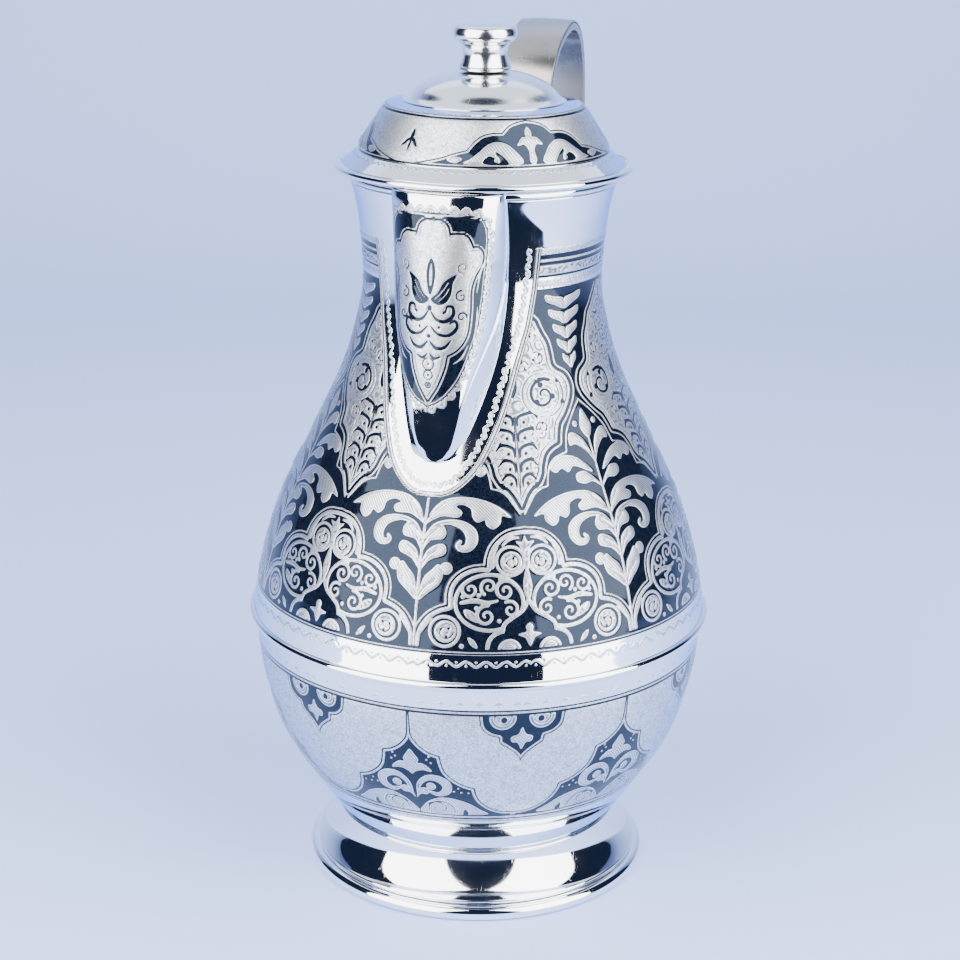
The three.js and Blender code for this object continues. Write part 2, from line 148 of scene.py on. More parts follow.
# %% [markdown]
# ## Meshes
# Every piece is a grid of points turned into faces. One function makes the index of a grid, one
# turns a section about the pot's axis, and one puts arrays into a mesh and turns it outwards.


# %% Grids into meshes
def grid_faces(rows, cols, wrap_rows=False, wrap_cols=False):
    """Quads joining point (i, j) to (i, j+1), (i+1, j+1) and (i+1, j) of a rows by cols grid."""
    i = np.arange(rows if wrap_rows else rows - 1)[:, None]
    j = np.arange(cols if wrap_cols else cols - 1)[None, :]
    i2, j2 = (i + 1) % rows, (j + 1) % cols
    quads = [i * cols + j, i * cols + j2, i2 * cols + j2, i2 * cols + j]
    return np.stack(np.broadcast_arrays(*quads), -1).reshape(-1, 4)


def volume_of(points, faces):
    """Six times the enclosed volume: the sum over fans of triangles of a . (b x c)."""
    total = 0.0
    for block in faces:
        for k in range(1, block.shape[1] - 1):
            a, b, c = points[block[:, 0]], points[block[:, k]], points[block[:, k + 1]]
            total += np.einsum("ij,ij->", a, np.cross(b, c))
    return total


def put_mesh(name, points, faces, marks=None):
    """A mesh object from points in millimetres and blocks of faces, turned outwards and smooth.
    marks are numbers per point, kept as attributes that the finishes read."""
    points = np.asarray(points, float) + (0, AXIS_Y, 0)
    if volume_of(points, faces) < 0:
        faces = [block[:, ::-1] for block in faces]
    mesh = bpy.data.meshes.new(name)
    mesh.vertices.add(len(points))
    mesh.vertices.foreach_set("co", (points * MM).astype(np.float32).ravel())
    sizes = np.concatenate([np.full(len(b), b.shape[1]) for b in faces])
    mesh.loops.add(int(sizes.sum()))
    mesh.loops.foreach_set("vertex_index", np.concatenate([b.ravel() for b in faces]).astype(np.int32))
    mesh.polygons.add(len(sizes))
    starts = np.concatenate([[0], np.cumsum(sizes)[:-1]])
    mesh.polygons.foreach_set("loop_start", starts.astype(np.int32))
    mesh.polygons.foreach_set("use_smooth", np.ones(len(sizes), bool))
    mesh.update(calc_edges=True)
    for mark, values in (marks or {}).items():
        layer = mesh.attributes.new(mark, "FLOAT", "POINT")
        layer.data.foreach_set("value", np.asarray(values, np.float32).ravel())
    obj = bpy.data.objects.new(name, mesh)
    bpy.context.scene.collection.objects.link(obj)
    print(f"{name}: {len(points)} points, {int((sizes - 2).sum())} triangles")
    return obj


def around(r, turn, z):
    """Points (r sin t, -r cos t, z) at radius r, height z and azimuth t from the beak, in radians."""
    return np.stack([r * np.sin(turn), -r * np.cos(turn), z + 0 * turn], -1)


def spun(name, section, turns=256, marks=None):
    """Section of [radius, height] points turned about the pot's axis. A section that starts and ends
    on the axis gets two poles; any other is a closed loop."""
    section = np.asarray(section, float)
    turn = np.linspace(0, 2 * np.pi, turns, endpoint=False)
    poles = section[0, 0] < 1e-6 and section[-1, 0] < 1e-6
    rings = section[1:-1] if poles else section
    r, z = rings[:, :1], rings[:, 1:]
    points = around(r, turn, z).reshape(-1, 3)
    faces = [grid_faces(len(rings), turns, not poles, True)]
    if poles:
        j = np.arange(turns)
        top = len(points) - turns
        points = np.vstack([points, [[0, 0, section[0, 1]], [0, 0, section[-1, 1]]]])
        low, high = len(points) - 2, len(points) - 1
        k = (j + 1) % turns
        faces.append(np.stack([np.full(turns, low), k, j], 1))
        faces.append(np.stack([top + j, top + k, np.full(turns, high)], 1))
    return put_mesh(name, points, faces, marks)


# %% [markdown]
# ## Finishes
# Three silvers are needed: mirror-polished plain silver with the fine scratches of handling, the
# decorated silver, whose black and frosted parts follow distances stored on the mesh, and the
# satin, slightly tarnished silver of the handle. Scratches, haze and tarnish are shared groups.


# %% Node helpers
def group_of(name, inputs, outputs):
    """An empty shader node group with named float inputs and named outputs."""
    tree = bpy.data.node_groups.new(name, "ShaderNodeTree")
    for label, value in inputs.items():
        socket = tree.interface.new_socket(label, in_out="INPUT", socket_type="NodeSocketFloat")
        socket.default_value = value
    for label, kind in outputs.items():
        tree.interface.new_socket(label, in_out="OUTPUT", socket_type="NodeSocket" + kind)
    return tree, tree.nodes.new("NodeGroupInput"), tree.nodes.new("NodeGroupOutput")


def node(tree, kind, values=None, **props):
    """A shader node with its properties and its sockets' values or links set."""
    made = tree.nodes.new("ShaderNode" + kind)
    for key, value in props.items():
        setattr(made, key, value)
    for key, value in (values or {}).items():
        if hasattr(value, "is_output"):
            tree.links.new(value, made.inputs[key])
        else:
            made.inputs[key].default_value = value
    return made


def sums(tree, operation, a, b=0.0, c=0.0, clamp=False):
    """The output of one Math node."""
    return node(tree, "Math", {0: a, 1: b, 2: c}, operation=operation, use_clamp=clamp).outputs[0]


def blend_of(tree, share, a, b, kind="RGBA"):
    """a where the share is 0 and b where it is 1."""
    made = node(tree, "Mix", {0: share}, data_type=kind)
    first, second = ((6, 7) if kind == "RGBA" else (2, 3))
    for index, value in ((first, a), (second, b)):
        if hasattr(value, "is_output"):
            tree.links.new(value, made.inputs[index])
        else:
            made.inputs[index].default_value = value
    return made.outputs[2 if kind == "RGBA" else 0]


def ramp(tree, value, low, high):
    """A smooth step from 0 at low to 1 at high."""
    made = node(tree, "MapRange", {0: value, 1: low, 2: high, 3: 0.0, 4: 1.0},
                interpolation_type="SMOOTHSTEP")
    return made.outputs[0]


# %% [markdown]
# ## Wear
# Handled silver has fine crossed scratches, a haze from the polishing cloth and warm tarnish where
# the cloth doesn't reach. They could be painted; noise drawn out along two directions and soft
# clouds in object space need no unwrapping and go on from piece to piece.


# %% Wear of polished silver: scratches, haze and tarnish
def build_wear():
    """Fine crossed scratches (noise drawn out along two directions), a soft haze left by wiping,
    and a thin warm tarnish in patches, all in object space."""
    tree, feed, out = group_of("silver_wear", {"Scratch": 1.0, "Haze": 1.0, "Tarnish": 1.0},
                               {"Roughness": "Float", "Height": "Float", "Tarnish": "Float"})
    place = node(tree, "TexCoord").outputs["Object"]
    lines = []
    for turn, stretch in (((0.3, 0.2, 0.5), (2600, 240, 160)), ((0.9, 1.4, 2.2), (200, 2300, 260))):
        turned = node(tree, "Mapping", {0: place, 2: turn, 3: stretch}).outputs[0]
        grain = node(tree, "TexNoise", {"Vector": turned, "Scale": 1.0, "Detail": 3.0}).outputs[0]
        lines.append(ramp(tree, grain, 0.62, 0.78))
    scratch = sums(tree, "MULTIPLY", sums(tree, "MAXIMUM", *lines), feed.outputs["Scratch"])
    cloud = node(tree, "TexNoise", {"Vector": place, "Scale": 42.0, "Detail": 4.0}).outputs[0]
    haze = sums(tree, "MULTIPLY", ramp(tree, cloud, 0.35, 0.8), feed.outputs["Haze"])
    stain = node(tree, "TexNoise", {"Vector": place, "Scale": 26.0, "Detail": 6.0,
                                    "Roughness": 0.62}).outputs[0]
    tarnish = sums(tree, "MULTIPLY", ramp(tree, stain, 0.48, 0.85), feed.outputs["Tarnish"])
    rough = sums(tree, "MULTIPLY_ADD", scratch, 0.10, sums(tree, "MULTIPLY", haze, 0.06))
    tree.links.new(rough, out.inputs["Roughness"])
    tree.links.new(scratch, out.inputs["Height"])
    tree.links.new(tarnish, out.inputs["Tarnish"])
    return tree


WEAR = build_wear()


def new_finish(name):
    """An empty material with a Principled shader at its output."""
    made = bpy.data.materials.new(name)
    made.use_nodes = True
    tree = made.node_tree
    return made, tree, tree.nodes["Principled BSDF"]


def wear_on(tree, scratch, haze, tarnish):
    """The wear group placed in a material with its own amounts."""
    made = node(tree, "Group", node_tree=WEAR)
    for label, value in (("Scratch", scratch), ("Haze", haze), ("Tarnish", tarnish)):
        made.inputs[label].default_value = value
    return made.outputs


# %% [markdown]
# ## Plain silvers
# Foot, wires and belts are mirror bright, knob and cap a little softer from handling, and the strap
# is satin and tarnished. One function with different amounts makes all three, so they stay kin.


# %% Plain silvers
def plain_silver(name, colour, stain, roughness, scratch=1.0, haze=1.0, tarnish=0.5):
    """Silver whose colour goes to a stain where tarnished and whose gloss drops along scratches."""
    made, tree, shader = new_finish(name)
    wear = wear_on(tree, scratch, haze, tarnish)
    tree.links.new(blend_of(tree, wear["Tarnish"], (*colour, 1), (*stain, 1)), shader.inputs["Base Color"])
    tree.links.new(sums(tree, "ADD", wear["Roughness"], roughness), shader.inputs["Roughness"])
    shader.inputs["Metallic"].default_value = 1.0
    bump = node(tree, "Bump", {"Strength": 0.12, "Distance": 0.00003, "Height": wear["Height"]})
    bump.invert = True
    tree.links.new(bump.outputs[0], shader.inputs["Normal"])
    return made


MIRROR = plain_silver("mirror_silver", (0.90, 0.905, 0.92), (0.62, 0.60, 0.60), 0.035)
SATIN = plain_silver("satin_silver", (0.36, 0.345, 0.335), (0.13, 0.105, 0.09), 0.24, 1.8, 2.0, 1.0)
SOFT = plain_silver("soft_polished_silver", (0.88, 0.885, 0.90), (0.66, 0.65, 0.66), 0.13, 1.2, 1.2)
print("finishes:", [m.name for m in (MIRROR, SATIN, SOFT)])


def finished(obj, material, body, slot, *nodes):
    """Gives a piece its finish and its body, and hides the engineering nodes it stands for. The slot is not
    used.
    """
    obj.data.materials.clear()
    obj.data.materials.append(material)
    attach(obj, body)
    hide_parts(*nodes)
    return obj


# %% [markdown]
# ## The body's template
# From the seam the shoulder draws in to a slender neck and flares to the mouth; below the seam the
# bowl curls under to the foot. Both templates run upwards.

# %% Outlines of shoulder and bowl
RISE, SWELL = NECK_Z - SEAM_Z, BELLY_R - NECK_R
SHOULDER = flowing([
    (BELLY_R, SEAM_Z + 1.2), (NECK_R + SWELL * 0.92, SEAM_Z + RISE * 0.156),
    (NECK_R + SWELL * 0.742, SEAM_Z + RISE * 0.34), (NECK_R + SWELL * 0.457, SEAM_Z + RISE * 0.532),
    (NECK_R + SWELL * 0.18, SEAM_Z + RISE * 0.726), (NECK_R + SWELL * 0.028, SEAM_Z + RISE * 0.9),
    (NECK_R, NECK_Z + 3), (NECK_R + (LIP_R - NECK_R) * 0.42, MOUTH_Z - 11), (LIP_R, MOUTH_Z)])
DROP, BOWL_SWELL = SEAM_Z - FOOT_TOP_Z, BELLY_R - FOOT_TOP_R
BOWL = flowing([
    (0, FOOT_TOP_Z - 7), (FOOT_TOP_R * 0.5, FOOT_TOP_Z - 6), (FOOT_TOP_R * 0.85, FOOT_TOP_Z - 4),
    (FOOT_TOP_R + 1, FOOT_TOP_Z + 1), (FOOT_TOP_R + BOWL_SWELL * 0.4, FOOT_TOP_Z + DROP * 0.23),
    (FOOT_TOP_R + BOWL_SWELL * 0.72, FOOT_TOP_Z + DROP * 0.46),
    (FOOT_TOP_R + BOWL_SWELL * 0.91, FOOT_TOP_Z + DROP * 0.74), (BELLY_R - 0.9, SEAM_Z - 1.2)])
print("shoulder template", round(lengths(SHOULDER)[-1], 1), "mm, bowl", round(lengths(BOWL)[-1], 1), "mm")


def body_radius(height):
    """Outside radius of the shoulder and neck at a height, read off the template."""
    return np.interp(height, SHOULDER[:, 1], SHOULDER[:, 0])


# %% [markdown]
# ## The beak's levels
# The beak is a folded sheet: narrow and pointed at the foot, wide and nearly round at the mouth. It
# could be lofted between drawn sections; four sizes at eleven heights say the same in less, and a
# smooth curve through them gives every section between.

# %% Levels of the beak
BEAK_TIP = 165.8
LEVEL_Z = np.array([BEAK_TIP, 168, 172, 178, 186, 194, 202, 210, 220, 235, 253.2])
SIZES = {"front": [0.3, 4.4, 6.2, 7.8, 9.7, 12.0, 14.6, 16.9, 18.5, 19.2, 19.2],
         "back": [0.7, 7.0, 9.3, 11.6, 14.0, 16.0, 17.4, 18.2, 18.9, 19.4, 19.4],
         "crease": [57.6, 57.4, 57.6, 57.2, 55.6, 52.2, 47.6, 42.8, 38.9, 37.7, 39.6],
         "nose": [57.7, 57.9, 58.2, 58.5, 58.7, 58.6, 58.3, 57.8, 56.8, 54.9, 52.0]}


def beak_size(kind, z):
    """A size of the beak at a height: smooth curve through the levels, with the root of the height
    above the tip as its measure, because a rounded tip widens like a root."""
    root = np.sqrt(np.maximum(LEVEL_Z - BEAK_TIP, 0))
    dense = flowing(np.stack([root, SIZES[kind]], 1), 900)
    return np.interp(np.sqrt(np.maximum(z - BEAK_TIP, 0)), dense[:, 0], dense[:, 1])


# %% [markdown]
# ## Drawing the ornament
# A decorator pricks the pattern through a paper plan, one repeat at a time. Here a plan is a flat
# grid of points, degrees across and millimetres up, and each point knows three signed distances in
# millimetres: to the edge of the niello, of the mirror polish and of the hatched leaves. Distances
# stay crisp when a finish reads them between two points of a mesh, which painted colours wouldn't.


# %% The plan
REACH_MM = 2.5
MARKS = ("niello", "mirror", "leaf")


class Plan:
    """Signed distances on a grid: niello, mirror and leaf, each positive inside its own areas.
    A stroke or area is laid on top of what is there, as in painting."""

    def __init__(self, across, up, mm_per_degree, ground):
        self.a, self.y = across, up
        self.k = np.interp(up, *mm_per_degree)
        shape = (len(up), len(across))
        start = {"niello": (REACH_MM, -REACH_MM), "mirror": (-REACH_MM, REACH_MM),
                 "matt": (-REACH_MM, -REACH_MM)}[ground]
        self.niello, self.mirror = np.full(shape, start[0]), np.full(shape, start[1])
        self.leaf = np.full(shape, -REACH_MM)

    def window(self, line, reach):
        """The part of the grid that lies within a reach of a line."""
        side = reach / self.k.min()
        r = np.searchsorted(self.y, [line[:, 1].min() - reach, line[:, 1].max() + reach])
        c = np.searchsorted(self.a, [line[:, 0].min() - side, line[:, 0].max() + side])
        return slice(*r), slice(*c)

    def distance(self, line, where, widths=0.0):
        """Least distance from each grid point to the segments of a line: the length of what is left
        of (point - start) after its share along the segment, clamped to 0..1, is taken off. Half the
        line's width at that share comes off the distance."""
        rows, cols = where
        k = self.k[rows][:, None]
        gx, gy = self.a[cols][None, :] * k, self.y[rows][:, None]
        widths = np.broadcast_to(widths, len(line))
        best = np.full(np.broadcast_shapes(gx.shape, gy.shape), 99.0)
        for i in range(len(line) - 1):
            (px, py), (qx, qy) = line[i], line[i + 1]
            dx, dy = (qx - px) * k, qy - py
            ex, ey = gx - px * k, gy - py
            share = np.clip((ex * dx + ey * dy) / np.maximum(dx * dx + dy * dy, 1e-9), 0, 1)
            half = (widths[i] + (widths[i + 1] - widths[i]) * share) / 2
            best = np.minimum(best, np.hypot(ex - share * dx, ey - share * dy) - half)
        return best

    def signed(self, outline, reach=REACH_MM):
        """Distance to a closed outline, positive inside: a point is inside when a ray to its right
        crosses the outline an odd number of times."""
        loop = np.vstack([outline, outline[:1]])
        where = self.window(loop, reach)
        rows, cols = where
        gx, gy = self.a[cols][None, :], self.y[rows][:, None]
        odd = np.zeros(np.broadcast_shapes(gx.shape, gy.shape), bool)
        for (px, py), (qx, qy) in zip(loop[:-1], loop[1:]):
            if py != qy:
                odd ^= ((py > gy) != (qy > gy)) & (gx < px + (gy - py) * (qx - px) / (qy - py))
        d = self.distance(loop, where)
        return where, np.where(odd, d, -d)

    def lay(self, tone, where, d):
        """Lays a shape of signed distance d on top, in one tone."""
        d = np.clip(d, -REACH_MM, REACH_MM)
        for mark in MARKS:
            field = getattr(self, mark)
            field[where] = np.maximum(field[where], d) if mark == tone else np.minimum(field[where], -d)

    def bands(self, shape, *bands):
        """Bands that follow an outline, each between two distances inside it."""
        where, d = shape
        for low, high, tone in bands:
            self.lay(tone, where, np.minimum(d - low, high - d))

    def area(self, tone, points):
        self.lay(tone, *self.signed(np.asarray(points, float)))

    def petal(self, tone, points, count=28):
        """An area bounded by a smooth closed line through points."""
        p = np.asarray(points, float)
        looped = np.vstack([p[-1:], p, p[:2]])
        spans = len(looped) - 1
        line = flowing(looped, spans * 8 + 1)[8:-8]
        self.area(tone, line)

    def stroke(self, tone, points, width, smooth=True):
        line = np.asarray(points, float)
        steps = (len(line) - 1) * 8 + 1
        if np.ndim(width):
            width = np.interp(np.linspace(0, 1, steps if smooth else len(line)),
                              np.linspace(0, 1, len(width)), width)
        line = flowing(line, steps) if smooth else line
        where = self.window(line, REACH_MM + np.max(width))
        self.lay(tone, where, -self.distance(line, where, width))

    def disc(self, tone, centre, radius, ring=None):
        """A round spot, or a ring of a width."""
        spot = np.array([centre, centre], float)
        where = self.window(spot, radius + REACH_MM)
        d = radius - self.distance(spot, where)
        self.lay(tone, where, d if ring is None else np.minimum(d, ring - d))

    def scroll(self, tone, centre, radius, start, turns, width, hand=1):
        """A tendril: a spiral whose radius falls evenly to a seventh while it turns."""
        s = np.linspace(0, 1, 8 + int(14 * turns))
        bend = np.radians(start) + hand * 2 * np.pi * turns * s
        r = radius * (1 - 0.86 * s)
        k = np.interp(centre[1], self.y, self.k)
        line = np.stack([centre[0] + r * np.cos(bend) / k, centre[1] + r * np.sin(bend)], 1)
        self.stroke(tone, line, np.linspace(width, width * 0.6, len(line)), smooth=False)

    def rosette(self, centre, radius, start=90, hand=1):
        """A curled flower: a light disc, a dark spiral cut in it and a dark eye or two."""
        self.disc("matt", centre, radius)
        self.scroll("niello", centre, radius * 0.74, start, 1.35, radius * 0.15, hand)
        k = np.interp(centre[1], self.y, self.k)
        for turn in (0.4, 2.6, 4.6):
            spot = (centre[0] + radius * 0.46 * math.cos(turn + start) / k,
                    centre[1] + radius * 0.46 * math.sin(turn + start))
            self.disc("niello", spot, radius * 0.13)

    def read(self, a, y):
        """Each distance between grid points, by straight mixing of the four nearest values."""
        i = np.clip((y - self.y[0]) / (self.y[1] - self.y[0]), 0, len(self.y) - 1.001)
        j = np.clip((a - self.a[0]) / (self.a[1] - self.a[0]), 0, len(self.a) - 1.001)
        i0, j0 = i.astype(int), j.astype(int)
        u, v = i - i0, j - j0
        return {mark: (f[i0, j0] * (1 - u) * (1 - v) + f[i0, j0 + 1] * (1 - u) * v
                       + f[i0 + 1, j0] * u * (1 - v) + f[i0 + 1, j0 + 1] * u * v)
                for mark, f in ((mark, getattr(self, mark)) for mark in MARKS)}


def lobed(*runs):
    """An outline of smooth lobes that meet at corners."""
    return np.vstack([flowing(run, (len(run) - 1) * 6 + 1) if len(run) > 2 else np.asarray(run, float)
                      for run in runs])


def both_sides(half, middle=0.0):
    """A half outline and its mirror about a line across, as one closed outline."""
    other = half[::-1].copy()
    other[:, 0] = 2 * middle - other[:, 0]
    return np.vstack([half, other])


def told(what, plan):
    """Prints how much of a plan's area each tone covers."""
    shares = {mark: round(float((getattr(plan, mark) > 0).mean()), 2) for mark in MARKS}
    print(what, plan.niello.shape, "covered:", shares)


# %% [markdown]
# ## The shoulder's repeat
# Six repeats run round the shoulder. Each has an upright medallion with a niche at its foot, a
# pendant of scrollwork above it, and between them plumes of acanthus leaves on black ground. Half
# a repeat is drawn, from the medallion's axis (0 degrees) to the plume's axis (28), and mirrored.

# %% Waves and bands
HALF = 28.0
BELT_TOP_Z = 109.8
shoulder_arc = lengths(SHOULDER)
BELT_ARC = np.interp(BELT_TOP_Z, SHOULDER[:, 1], shoulder_arc)
SHOULDER_K = (shoulder_arc - BELT_ARC, np.radians(SHOULDER[:, 0]))
FULL_ARC = shoulder_arc[-1]


def wave(plan, middle, tall, period, tone="matt", width=0.75, dots=0.42):
    """A waving line round the pot with a dot in each hollow: y = middle + tall sin(2 pi a / period)."""
    a = np.arange(plan.a[0] - period, plan.a[-1] + period, period / 16)
    plan.stroke(tone, np.stack([a, middle + tall * np.sin(2 * np.pi * a / period)], 1), width, False)
    for k in range(int(plan.a[0] / period) - 1, int(plan.a[-1] / period) + 2):
        plan.disc(tone, (period * (k + 0.25), middle - tall * 0.75), dots)
        plan.disc(tone, (period * (k + 0.75), middle + tall * 0.75), dots)


def ring_band(plan, low, high, tone):
    """A plain band round the pot between two heights of the plan."""
    where = (slice(0, len(plan.y)), slice(0, len(plan.a)))
    d = np.minimum(plan.y - low, high - plan.y)[:, None] + 0 * plan.a[None, :]
    plan.lay(tone, where, d)


SHOULDER_PLAN = Plan(np.linspace(0, HALF, 176), np.arange(-13, FULL_ARC - BELT_ARC + 0.3, 0.22),
                     SHOULDER_K, "niello")
told("bare shoulder", SHOULDER_PLAN)

# %% [markdown]
# ## The plumes
# Real plumes are acanthus leaves that climb a stem and curl outwards. They could be traced as free
# curves; closed smooth outlines through a few points are easier to read and to change. Their
# points are counted from the plume's own axis, so that each leaf is folded over to the plan's edge.


# %% Plume
def fold(points, axis=HALF):
    """Points counted in degrees from the plume's axis, as points of the plan."""
    return [(axis - b, y) for b, y in points]


def draw_plume(plan):
    """The standing plume, lowest leaf first, and the hanging one under the neck band."""
    plan.stroke("matt", fold([(0, 0), (0, 20), (0, 66)]), [0.7, 1.0, 0.6])
    plan.petal("leaf", fold([(0.2, 15), (2.8, 17.5), (5.4, 20.5), (6.2, 24.2), (5.0, 27), (3.2, 25),
        (1.2, 22)]))
    plan.disc("leaf", (HALF - 7.0, 25.8), 2.0)
    plan.petal("leaf", fold([(0.2, 25), (2.6, 28.2), (6.2, 30.2), (6.4, 33), (4.6, 33.6), (1.4, 31)]))
    plan.petal("leaf", fold([(0.1, 31), (2.2, 34.5), (5.6, 35.4), (6.2, 38), (4.4, 40.3), (1.6, 38.5)]))
    plan.stroke("leaf", fold([(0.5, 35.5), (3, 39.6), (7, 41.0), (11, 40.0), (13.2, 37.6), (13.5, 35.0),
                              (12.5, 32.9), (10.7, 32.4), (9.7, 33.5), (10.4, 34.7)]),
                [0.9, 1.3, 1.6, 2.8, 3.9, 3.8, 2.8, 1.9, 1.4, 1.1])
    plan.petal("leaf", fold([(0.2, 40), (2, 45.2), (5, 48.2), (9, 49.4), (14, 49.2), (18.5, 47.8),
                             (22, 45.6), (24.7, 42.6), (21.9, 43.2), (21.4, 40.8), (19.4, 39.0),
                             (17.6, 40.2), (17.0, 42.0), (15.0, 41.2), (13.6, 42.8), (13.0, 45.6),
                             (10.5, 46.9), (8.6, 46.2), (10.4, 44.6), (9.4, 42.7), (5.0, 42.8), (2, 41.2)]))
    plan.petal("leaf", fold([(0.1, 49), (2.0, 52.5), (5, 55.2), (8.4, 55.0), (8.8, 52.6), (6.4, 51.2),
        (3, 51.4)]))
    plan.petal("leaf", fold([(2.0, 54.6), (5, 58.6), (8.5, 61.0), (12, 61.6), (15.5, 60.4), (17.4, 57.8),
                             (15.6, 56.2), (13.4, 57.4), (11.2, 55.9), (9.2, 57.6), (7, 57.0), (4.2, 55.4)]))
    plan.petal("leaf", fold([(0.2, 58), (2.4, 61.5), (6.0, 64.6), (8.6, 64.6), (8.2, 68.2), (5.6, 68.4),
        (2.2, 65)]))
    plan.petal("leaf", fold([(0, 66), (2.4, 69.2), (2.0, 72.2), (0, 76), (-2.0, 72.2), (-2.4, 69.2)]))
    plan.disc("leaf", (HALF - 4.4, 71.4), 1.0)
    for b, y in ((1.6, 19), (1.6, 29), (1.4, 36), (2.2, 44), (2.6, 53), (2.2, 62)):
        plan.stroke("niello", fold([(0.2, y - 3), (b, y), (b + 2.6, y + 2.6)]), 0.28)
    for y, wide in ((93, 3.4), (98, 5.2), (103, 6.6), (108, 8.4), (113, 10)):
        plan.petal("leaf", fold([(0.1, y - 3), (wide * 0.5, y - 1.6), (wide, y), (wide * 1.05, y + 2.2),
                                 (wide * 0.55, y + 1.4), (0.3, y + 0.4)]))


draw_plume(SHOULDER_PLAN)
told("with the plumes", SHOULDER_PLAN)

# %% [markdown]
# ## The pendants
# Between the hanging plumes a lobed pendant is filled with small scrolls on frosted silver. The
# outline is signed once and every border line is a band inside or outside it, as a graver follows
# its own first cut; the scrolls and curled flowers are then laid on top.


# %% Pendant
def draw_pendant(plan):
    """The pendant of scrollwork, then the plume's own edge line, which frames it below."""
    pendant = both_sides(lobed([(0, 46), (1.5, 49.3), (3.3, 52), (6, 54)],
                               [(6, 54), (7.3, 56.5), (8, 59.5), (9.5, 63), (12, 65.2), (15, 66.5)],
                               [(15, 66.5), (15.6, 69), (17, 72.5), (19.5, 75), (22.2, 78), (24.6, 81.5),
                                (25.2, 84.8), (23.6, 88), (20, 90)],
                               [(20, 90), (18, 92), (17.4, 96), (16.5, 99.5), (14, 103), (12, 106.5)],
                               [(12, 106.5), (8, 109.6), (4, 113.5), (0, 118)]))
    shape = plan.signed(pendant)
    plan.bands(shape, (-1.75, -1.2, "matt"), (0, 40, "matt"), (0.95, 1.3, "niello"))
    for y in (54.2, 59, 64, 69.2, 74.4):
        wide = 3.6 + (y - 54) * 0.16
        plan.stroke("niello", [(1.0, y - 1.6), (1.4, y + 1.4), (wide, y + 2.6), (wide + 2.0, y + 0.6)],
                    [0.5, 1.1, 1.2, 0.5])
        plan.disc("niello", (2.6 + (y - 54) * 0.04, y - 0.4), 0.62)
        plan.scroll("niello", (5.2 + (y - 54) * 0.1, y - 0.9), 1.5, 200, 1.1, 0.4)
    plan.stroke("niello", [(0, 50), (0.4, 60), (0.2, 76)], 0.4)
    plan.rosette((12.6, 82.5), 7.4, 60)
    plan.disc("niello", (12.6, 82.5), 7.6, 0.4)
    plan.disc("niello", (12.6, 82.5), 5.9, 0.3)
    plan.rosette((10.4, 71.8), 3.1, 200, -1)
    plan.rosette((4.4, 92.0), 3.4, 20)
    plan.rosette((11.6, 94.4), 3.3, 120, -1)
    plan.rosette((4.6, 101.4), 3.2, 240)
    plan.rosette((10.6, 101.8), 2.2, 80)
    plan.petal("niello", [(0, 82), (1.8, 85), (1.2, 88.5), (0, 90.5), (-1.2, 88.5), (-1.8, 85)])
    plan.stroke("niello", [(2, 106), (5, 105.4), (8, 106.4)], [0.4, 1.0, 0.4])
    plan.disc("niello", (1.2, 97), 0.6)
    plan.disc("niello", (19.5, 86.6), 0.7)
    plan.disc("niello", (20.5, 79.6), 0.8)
    plan.stroke("matt", np.vstack([lobed([(0.6, 43.6), (2.5, 47.0), (4.4, 50.0), (6.6, 51.6), (8.9, 52.3)],
                                         [(8.9, 52.3), (9.6, 56.2), (10.8, 59.2), (12.6, 61.0), (15, 62.0),
                                          (17.6, 62.6)],
                                         [(17.6, 62.6), (18.3, 66.2), (19.3, 69.2), (21.3, 72.2),
                                          (24.4, 75.8), (28.4, 79.6)])]), 0.5, smooth=False)


draw_pendant(SHOULDER_PLAN)
told("with the pendants", SHOULDER_PLAN)

# %% [markdown]
# ## The medallions
# The upright medallion has a top lobe, a ring of scrolls at each side, a foot lobe and a niche. The
# black ground is laid first and the silver tendrils over it, in the order of the real work seen
# from the eye: what is drawn last lies uppermost.


